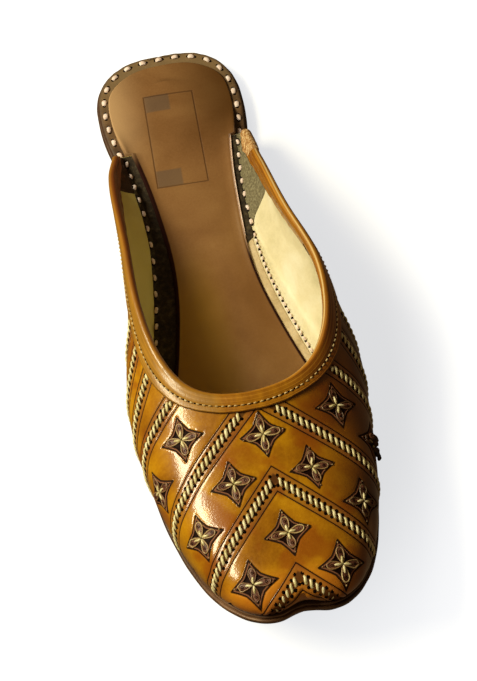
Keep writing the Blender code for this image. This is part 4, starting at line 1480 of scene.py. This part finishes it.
def make_collar_stitches():
    """Small cream stitches along the strip, with a dark hole between each and the next."""
    thread, holes = Pile(), Pile()
    wrap = Wrap(np.linspace(0.02, 1.98, 1500))
    _, normal, _ = wrap.at(FOLD_STITCH)
    line = wrap.outside(FOLD_STITCH, FOLD_CLEAR + FOLD_THICK - 0.2)
    length = arc_lengths(line)
    dice = np.random.default_rng(3)

    def at(where):
        """The place and the normal at a length along the row."""
        return point_at(where, length, line), unit(point_at(where, length, normal))

    for where in np.arange(2.0, length[-1] - 3.0, STITCH_PITCH):
        shake = dice.uniform(-0.1, 0.1)
        start, start_normal = at(where + shake)
        end, end_normal = at(where + STITCH_LENGTH + shake)
        lay_stitch(thread, start, end, start_normal + end_normal, 0.55, 0.55, sink=0.2, steps=7)
        punch_hole(holes, *at(where + STITCH_HOLE), 0.34, 1.15, end - start, sides=10, lift=0.05)
    add_pile("collar_stitches", thread, COLLAR_THREAD)
    add_pile("collar_holes", holes, HOLE)


make_collar_stitches()


NICK_U = np.array([1.508, 1.516, 1.524, 1.532])


def make_nick():
    """A small torn nick in the strip's inner edge, on the right: dark dishes of painted shade in two rows
    that overlap.
    """
    nick = Pile()
    wrap = Wrap(NICK_U)
    _, normals, _ = wrap.at(0.0)
    for depth, radius, first in ((2.6, 0.75, 0), (1.9, 0.5, 1)):
        spots = wrap.inside(depth, FOLD_CLEAR + FOLD_THICK)
        for spot, normal in zip(spots[first:], normals):
            punch_hole(nick, spot, -normal, radius, 1.2, lift=0.08)
    add_pile("collar_nick", nick, HOLE)


make_nick()


TURNED_START, TURNED_END = 1.888, 1.999  # u between which the right back end is turned over
TURNED_OUTSIDE = (2.6, 2.2, 1.5, 0.8)
TURNED_OVER = (0, 25, 50, 75, 100, 125, 150, 180)
TURNED_DOWN = (0.08, 0.16, 0.25, 0.34, 0.43, 0.52, 0.61, 0.70, 0.79, 0.87, 0.94, 1.0)


def make_turned_end():
    """At the right back end the strip is turned back over itself, flesh side out: flat, raw and fibrous."""
    wrap = Wrap(np.linspace(TURNED_START, TURNED_END, 90))
    front = ease((wrap.u - TURNED_START) / 0.012)
    ragged = 0.35 * np.sin(wrap.u * 420) + 0.3 * np.sin(wrap.u * 190 + 2)
    deep = (fold_inside(wrap) + 0.5) * (0.80 + 0.20 * ease((wrap.u - TURNED_START) / 0.035)) + 0.3 * ragged
    base = FOLD_CLEAR + FOLD_THICK - 0.2
    skins = []
    for raised in (True, False):
        lift = 0.22 + 0.12 * front if raised else 0.0
        section = [wrap.outside(depth + 0.2 * ragged, base + lift * (depth < 2.4))
                   for depth in TURNED_OUTSIDE]
        section += [wrap.over(degrees, base + lift) for degrees in TURNED_OVER]
        section += [wrap.inside(deep * share, base + lift * (share < 1)) for share in TURNED_DOWN]
        rows = np.stack(section, axis=1)
        if raised:
            out = unit(rows - rows.mean(axis=1, keepdims=True))
            fibre = soft_noise(rows * np.array([2.2, 0.35, 1.4]), 1.2, 61)
            rows = rows + out * (0.09 * fibre + 0.06 * soft_noise(rows, 4.0, 62))[..., None]
        skins.append(rows)
    loop = np.concatenate([skins[0], skins[1][:, ::-1]], axis=1)
    closed_strip("turned_end", round_ends(loop, wrap.run + 3.0, 3.0), RAW_END)


make_turned_end()


# --- sock and sole --------------------------------------------------------------------------------------

SOLE_COLUMNS, SOLE_CELLS = 300, 14
STEP_Q = BACK_Q - GAP / (BALL_STATION - HEEL_STATION)
SOCK_HEEL_INSET = 5.0
SOCK_BACK_INSET = 6.6     # and at the very back
SOCK_WIDER = 1.3          # how far the sock laps over the strips beside it, towards the heel
SOCK_CELLS = 22


def slab(name, q, inset, levels, cells, material, stands_for, top_height=None, ragged=0.0, top=None):
    """A flat piece within the outline at q, with cells across it.

    levels are rows of (further inset, height above the ground's curve) round its side, from below. With
    top_height, a level at height 0 takes its height from it. The side is ragged mm uneven, and top is the
    material of its upper face, if it has its own.
    """
    share = np.cos(np.linspace(0, math.pi, cells + 1))[1:-1]
    depths = []

    def row(extra, height, t, side):
        """One lengthwise row: further in from the edge by extra, at the share t of the way out to a side."""
        rough = ragged * soft_noise(np.stack([q * 60, q * 0 + height * 2, q * 0 + side], axis=-1), 7.0, 71)
        wide, station = edge(q, inset + extra + rough * (abs(t) == 1))
        offset = wide * t
        station = station - notch(offset, station)
        away = extra + (1 - abs(t)) * wide
        on_top = top_height is not None and height == 0.0
        lift = top_height(away, station) if on_top else height
        depths.append(away)
        return np.stack([offset, station, ground(station) + lift], axis=-1)

    rows = [row(*levels[0], t, 0) for t in share]
    rows += [row(extra, height, -1.0, -1) for extra, height in levels]
    rows += [row(*levels[-1], -t, 0) for t in share]
    rows += [row(extra, height, 1.0, 1) for extra, height in levels[::-1]]
    loop = np.stack(rows, axis=1)
    piece = add_piece(name, loop.reshape(-1, 3), grid_faces(len(q), loop.shape[1], wrap=True), material,
                      stands_for, {"rim": np.stack(depths, axis=1)})
    shaped = bmesh.new()
    shaped.from_mesh(piece.data)
    bmesh.ops.remove_doubles(shaped, verts=shaped.verts, dist=2e-6)
    bmesh.ops.dissolve_degenerate(shaped, edges=shaped.edges, dist=1e-7)
    bmesh.ops.recalc_face_normals(shaped, faces=shaped.faces)
    if top is not None:
        for face in shaped.faces:
            if face.normal.z > 0.8:
                face.material_index = 1
    shaped.to_mesh(piece.data)
    shaped.free()
    if top is not None:
        piece.data.materials.append(top)
    return piece


def make_sole():
    """Two layers of sole leather. Each side is worn round at its edges, and the upper one is set back."""
    q = even_steps(-1.0, 2.0, 0.0, SOLE_COLUMNS)
    low = [(0.9, 0.0), (0.35, 0.15), (0.05, 0.6), (0.0, 1.2), (0.12, 2.0), (0.0, 2.8),
           (0.12, LOWER_LAYER - 0.3), (0.5, LOWER_LAYER - 0.05)]
    slab("sole_lower_layer", q, 0.0 * q, low, SOLE_CELLS, SOLE_LOW_HIDE, ["outsole"],
         ragged=0.10)
    high = [(0.35, LOWER_LAYER - 0.03), (0.05, LOWER_LAYER + 0.2), (0.0, LOWER_LAYER + 0.8),
            (0.05, SOLE_THICK - 0.7), (0.25, SOLE_THICK - 0.25), (0.7, SOLE_THICK - 0.02), (1.6, SOLE_THICK)]
    high = [(LAYER_STEP + further, height) for further, height in high]
    slab("sole_upper_layer", q, 0.0 * q, high, SOLE_CELLS, SOLE_TOP_HIDE, ["outsole"],
         ragged=0.14, top=SOLE_RIM)


make_sole()


def sock_wider(station):
    """How far the sock laps over the strips, which is less and less ahead of the heel."""
    return SOCK_WIDER * ease((128 - station) / 60)


def sock_height(away, station):
    """Height of the sock's face above the ground's curve, away from its edge: skived thin round the heel,
    full further forward, with a lip along its edge."""
    onward = ease((station - 32) / 17)
    skived = 0.80 + 1.3 * ease(away / 22)
    lip = 0.30 + 0.55 * ease((128 - station) / 40)
    full = 2.62 + lip * np.exp(-((away - 0.9) / 1.3) ** 2) - 0.3 * ease((0.4 - away) / 0.4)
    bumps = 0.07 * soft_noise(np.stack([away, station, 0 * station], axis=-1), 30.0, 81)
    return SOLE_THICK + skived * (1 - onward) + full * onward + bumps


def make_sock():
    """The sock: stepped in where the shell starts, its edge a little raised."""
    seat = even_steps(-1.0, STEP_Q - 0.004, SOCK_HEEL_INSET, 90)
    q = np.concatenate([seat, even_steps(STEP_Q, 2.0, sock_inset, 190)])
    station = edge_station(q)
    heel_inset = SOCK_HEEL_INSET + (SOCK_BACK_INSET - SOCK_HEEL_INSET) * ease((18 - station) / 16)
    inset = np.where(q < STEP_Q, heel_inset, sock_inset(station) - sock_wider(station))
    side = [(0.35, SOLE_THICK + 0.10), (0.05, SOLE_THICK + 0.22), (0.0, SOLE_THICK + 0.4)]
    levels = side + [(further, 0.0) for further in (0.25, 0.6, 1.1, 1.8, 3.0, 4.6, 6.6, 9.0)]
    slab("sock", q, inset, levels, SOCK_CELLS, SOCK_HIDE, ["insole"], sock_height)


make_sock()


def make_sock_edge():
    """Along the sock's right edge the bare cut hide shows as a pale line, with a painted highlight."""
    q = even_steps(STEP_Q, 2.0, sock_inset, 400)
    q = q[edge_station(q) < 99.0]
    station = edge_station(q)
    offset, station = edge(q, sock_inset(station) - sock_wider(station) + 0.12)
    path = np.stack([-offset, station, sole_top(station) + 3.1], axis=1)
    steps = np.arange(len(q))
    thick = 0.5 * np.clip(np.minimum(steps, steps[::-1] / 3) / 4, 0.3, 1)      # thinner at its ends
    points, faces = rounded_tube(path, np.tile(UP, (len(q), 1)), thick, thick)
    add_piece("sock_cut_edge_and_highlight", points, faces, BARE_EDGE_AND_HIGHLIGHT)


make_sock_edge()


# --- floor, light and camera ----------------------------------------------------------------------------

FLOOR_HALF = 3.0          # metres
SHADE_WIDTH = 0.62        # width of the painted shadow round the shoe, as a share of its length


def make_floor():
    """White paper that glows evenly, with a painted shadow: its glow is weaker close round the shoe."""
    mesh = bpy.data.meshes.new("floor")
    corners = [(x * FLOOR_HALF, y * FLOOR_HALF, 0) for x, y in ((-1, -1), (1, -1), (1, 1), (-1, 1))]
    mesh.from_pydata(corners, [], [(0, 1, 2, 3)])
    floor = bpy.data.objects.new("floor", mesh)
    bpy.context.scene.collection.objects.link(floor)
    floor.visible_diffuse = floor.visible_glossy = False      # as over black paper: no light from below
    material = bpy.data.materials.new("white_paper_sweep")
    material.use_nodes = True
    tree = material.node_tree
    here = add_node(tree, "TexCoord", out="Object")
    oval = add_node(tree, "Mapping", {0: here, 3: (1 / SHADE_WIDTH, 1.0, 0.0)})
    away = add_node(tree, "VectorMath", {0: oval}, out="Value", operation="LENGTH")
    # painted shadow: the paper's glow is weaker close round the shoe
    lit = add_node(tree, "MapRange", {0: away, 1: 0.095, 2: 0.155, 3: 0.73, 4: 0.93},
                   interpolation_type="SMOOTHSTEP")
    feed(tree, tree.nodes["Principled BSDF"], {
        "Base Color": linear("#BCBCBC"), "Roughness": 0.9, "Specular IOR Level": 0.1,
        "Emission Color": linear("#F8FBFF"), "Emission Strength": lit})
    floor.data.materials.append(material)


def aim(obj, at, target):
    """Puts an object in its place, looking at the target."""
    obj.location = at
    obj.rotation_euler = (Vector(target) - Vector(at)).to_track_quat("-Z", "Y").to_euler()


def soft_box(name, at, target, width, height, power, colour, glossy=True):
    """A square-cornered soft light. Without glossy, nothing mirrors it."""
    light = bpy.data.lights.new(name, "AREA")
    light.shape = "RECTANGLE"
    light.size, light.size_y, light.energy = width, height, power
    light.color = linear(colour)[:3]
    obj = bpy.data.objects.new(name, light)
    bpy.context.scene.collection.objects.link(obj)
    obj.visible_glossy, obj.visible_camera = glossy, False
    aim(obj, at, target)


def make_light():
    """A tall window low on the left, which the glossy vamp mirrors, and a weak fill that nothing mirrors."""
    world = bpy.data.worlds.new("studio")
    bpy.context.scene.world = world
    world.use_nodes = True
    background = world.node_tree.nodes["Background"]
    background.inputs["Color"].default_value = linear("#FFD49A")
    background.inputs["Strength"].default_value = 0.10
    soft_box("window", at=(-0.44, 0.115, 0.435), target=(0.0, -0.03, 0.02), width=0.40, height=0.15,
             power=4.4, colour="#FBF2CC")
    soft_box("fill", at=(-0.38, 0.12, 0.50), target=(0.0, 0.0, 0.0), width=0.3, height=0.3,
             power=0.8, colour="#FFF2DE", glossy=False)


def make_camera():
    """The camera stands before the toe and looks steeply down, a little turned about its line of sight."""
    stand = Vector((-0.0371, -0.2481, 0.4641))
    right = Vector((0.95565, -0.28104, 0.08799))
    up = Vector((0.21065, 0.86116, 0.46263))
    back = right.cross(up)
    turned = Matrix((right, up, back)).transposed()
    look = (Vector((0.0028, -0.0140, 0.0080)) - stand).normalized()
    swing = (-back).rotation_difference(look)
    camera = bpy.data.cameras.new("camera")
    camera.sensor_width = 36.0
    camera.lens = 73.0
    camera.clip_start = 0.01
    obj = bpy.data.objects.new("camera", camera)
    bpy.context.scene.collection.objects.link(obj)
    obj.matrix_world = Matrix.Translation(stand) @ swing.to_matrix().to_4x4() @ turned.to_4x4()
    bpy.context.scene.camera = obj


make_floor()
make_light()
make_camera()
bpy.context.scene.view_settings.view_transform = "Standard"
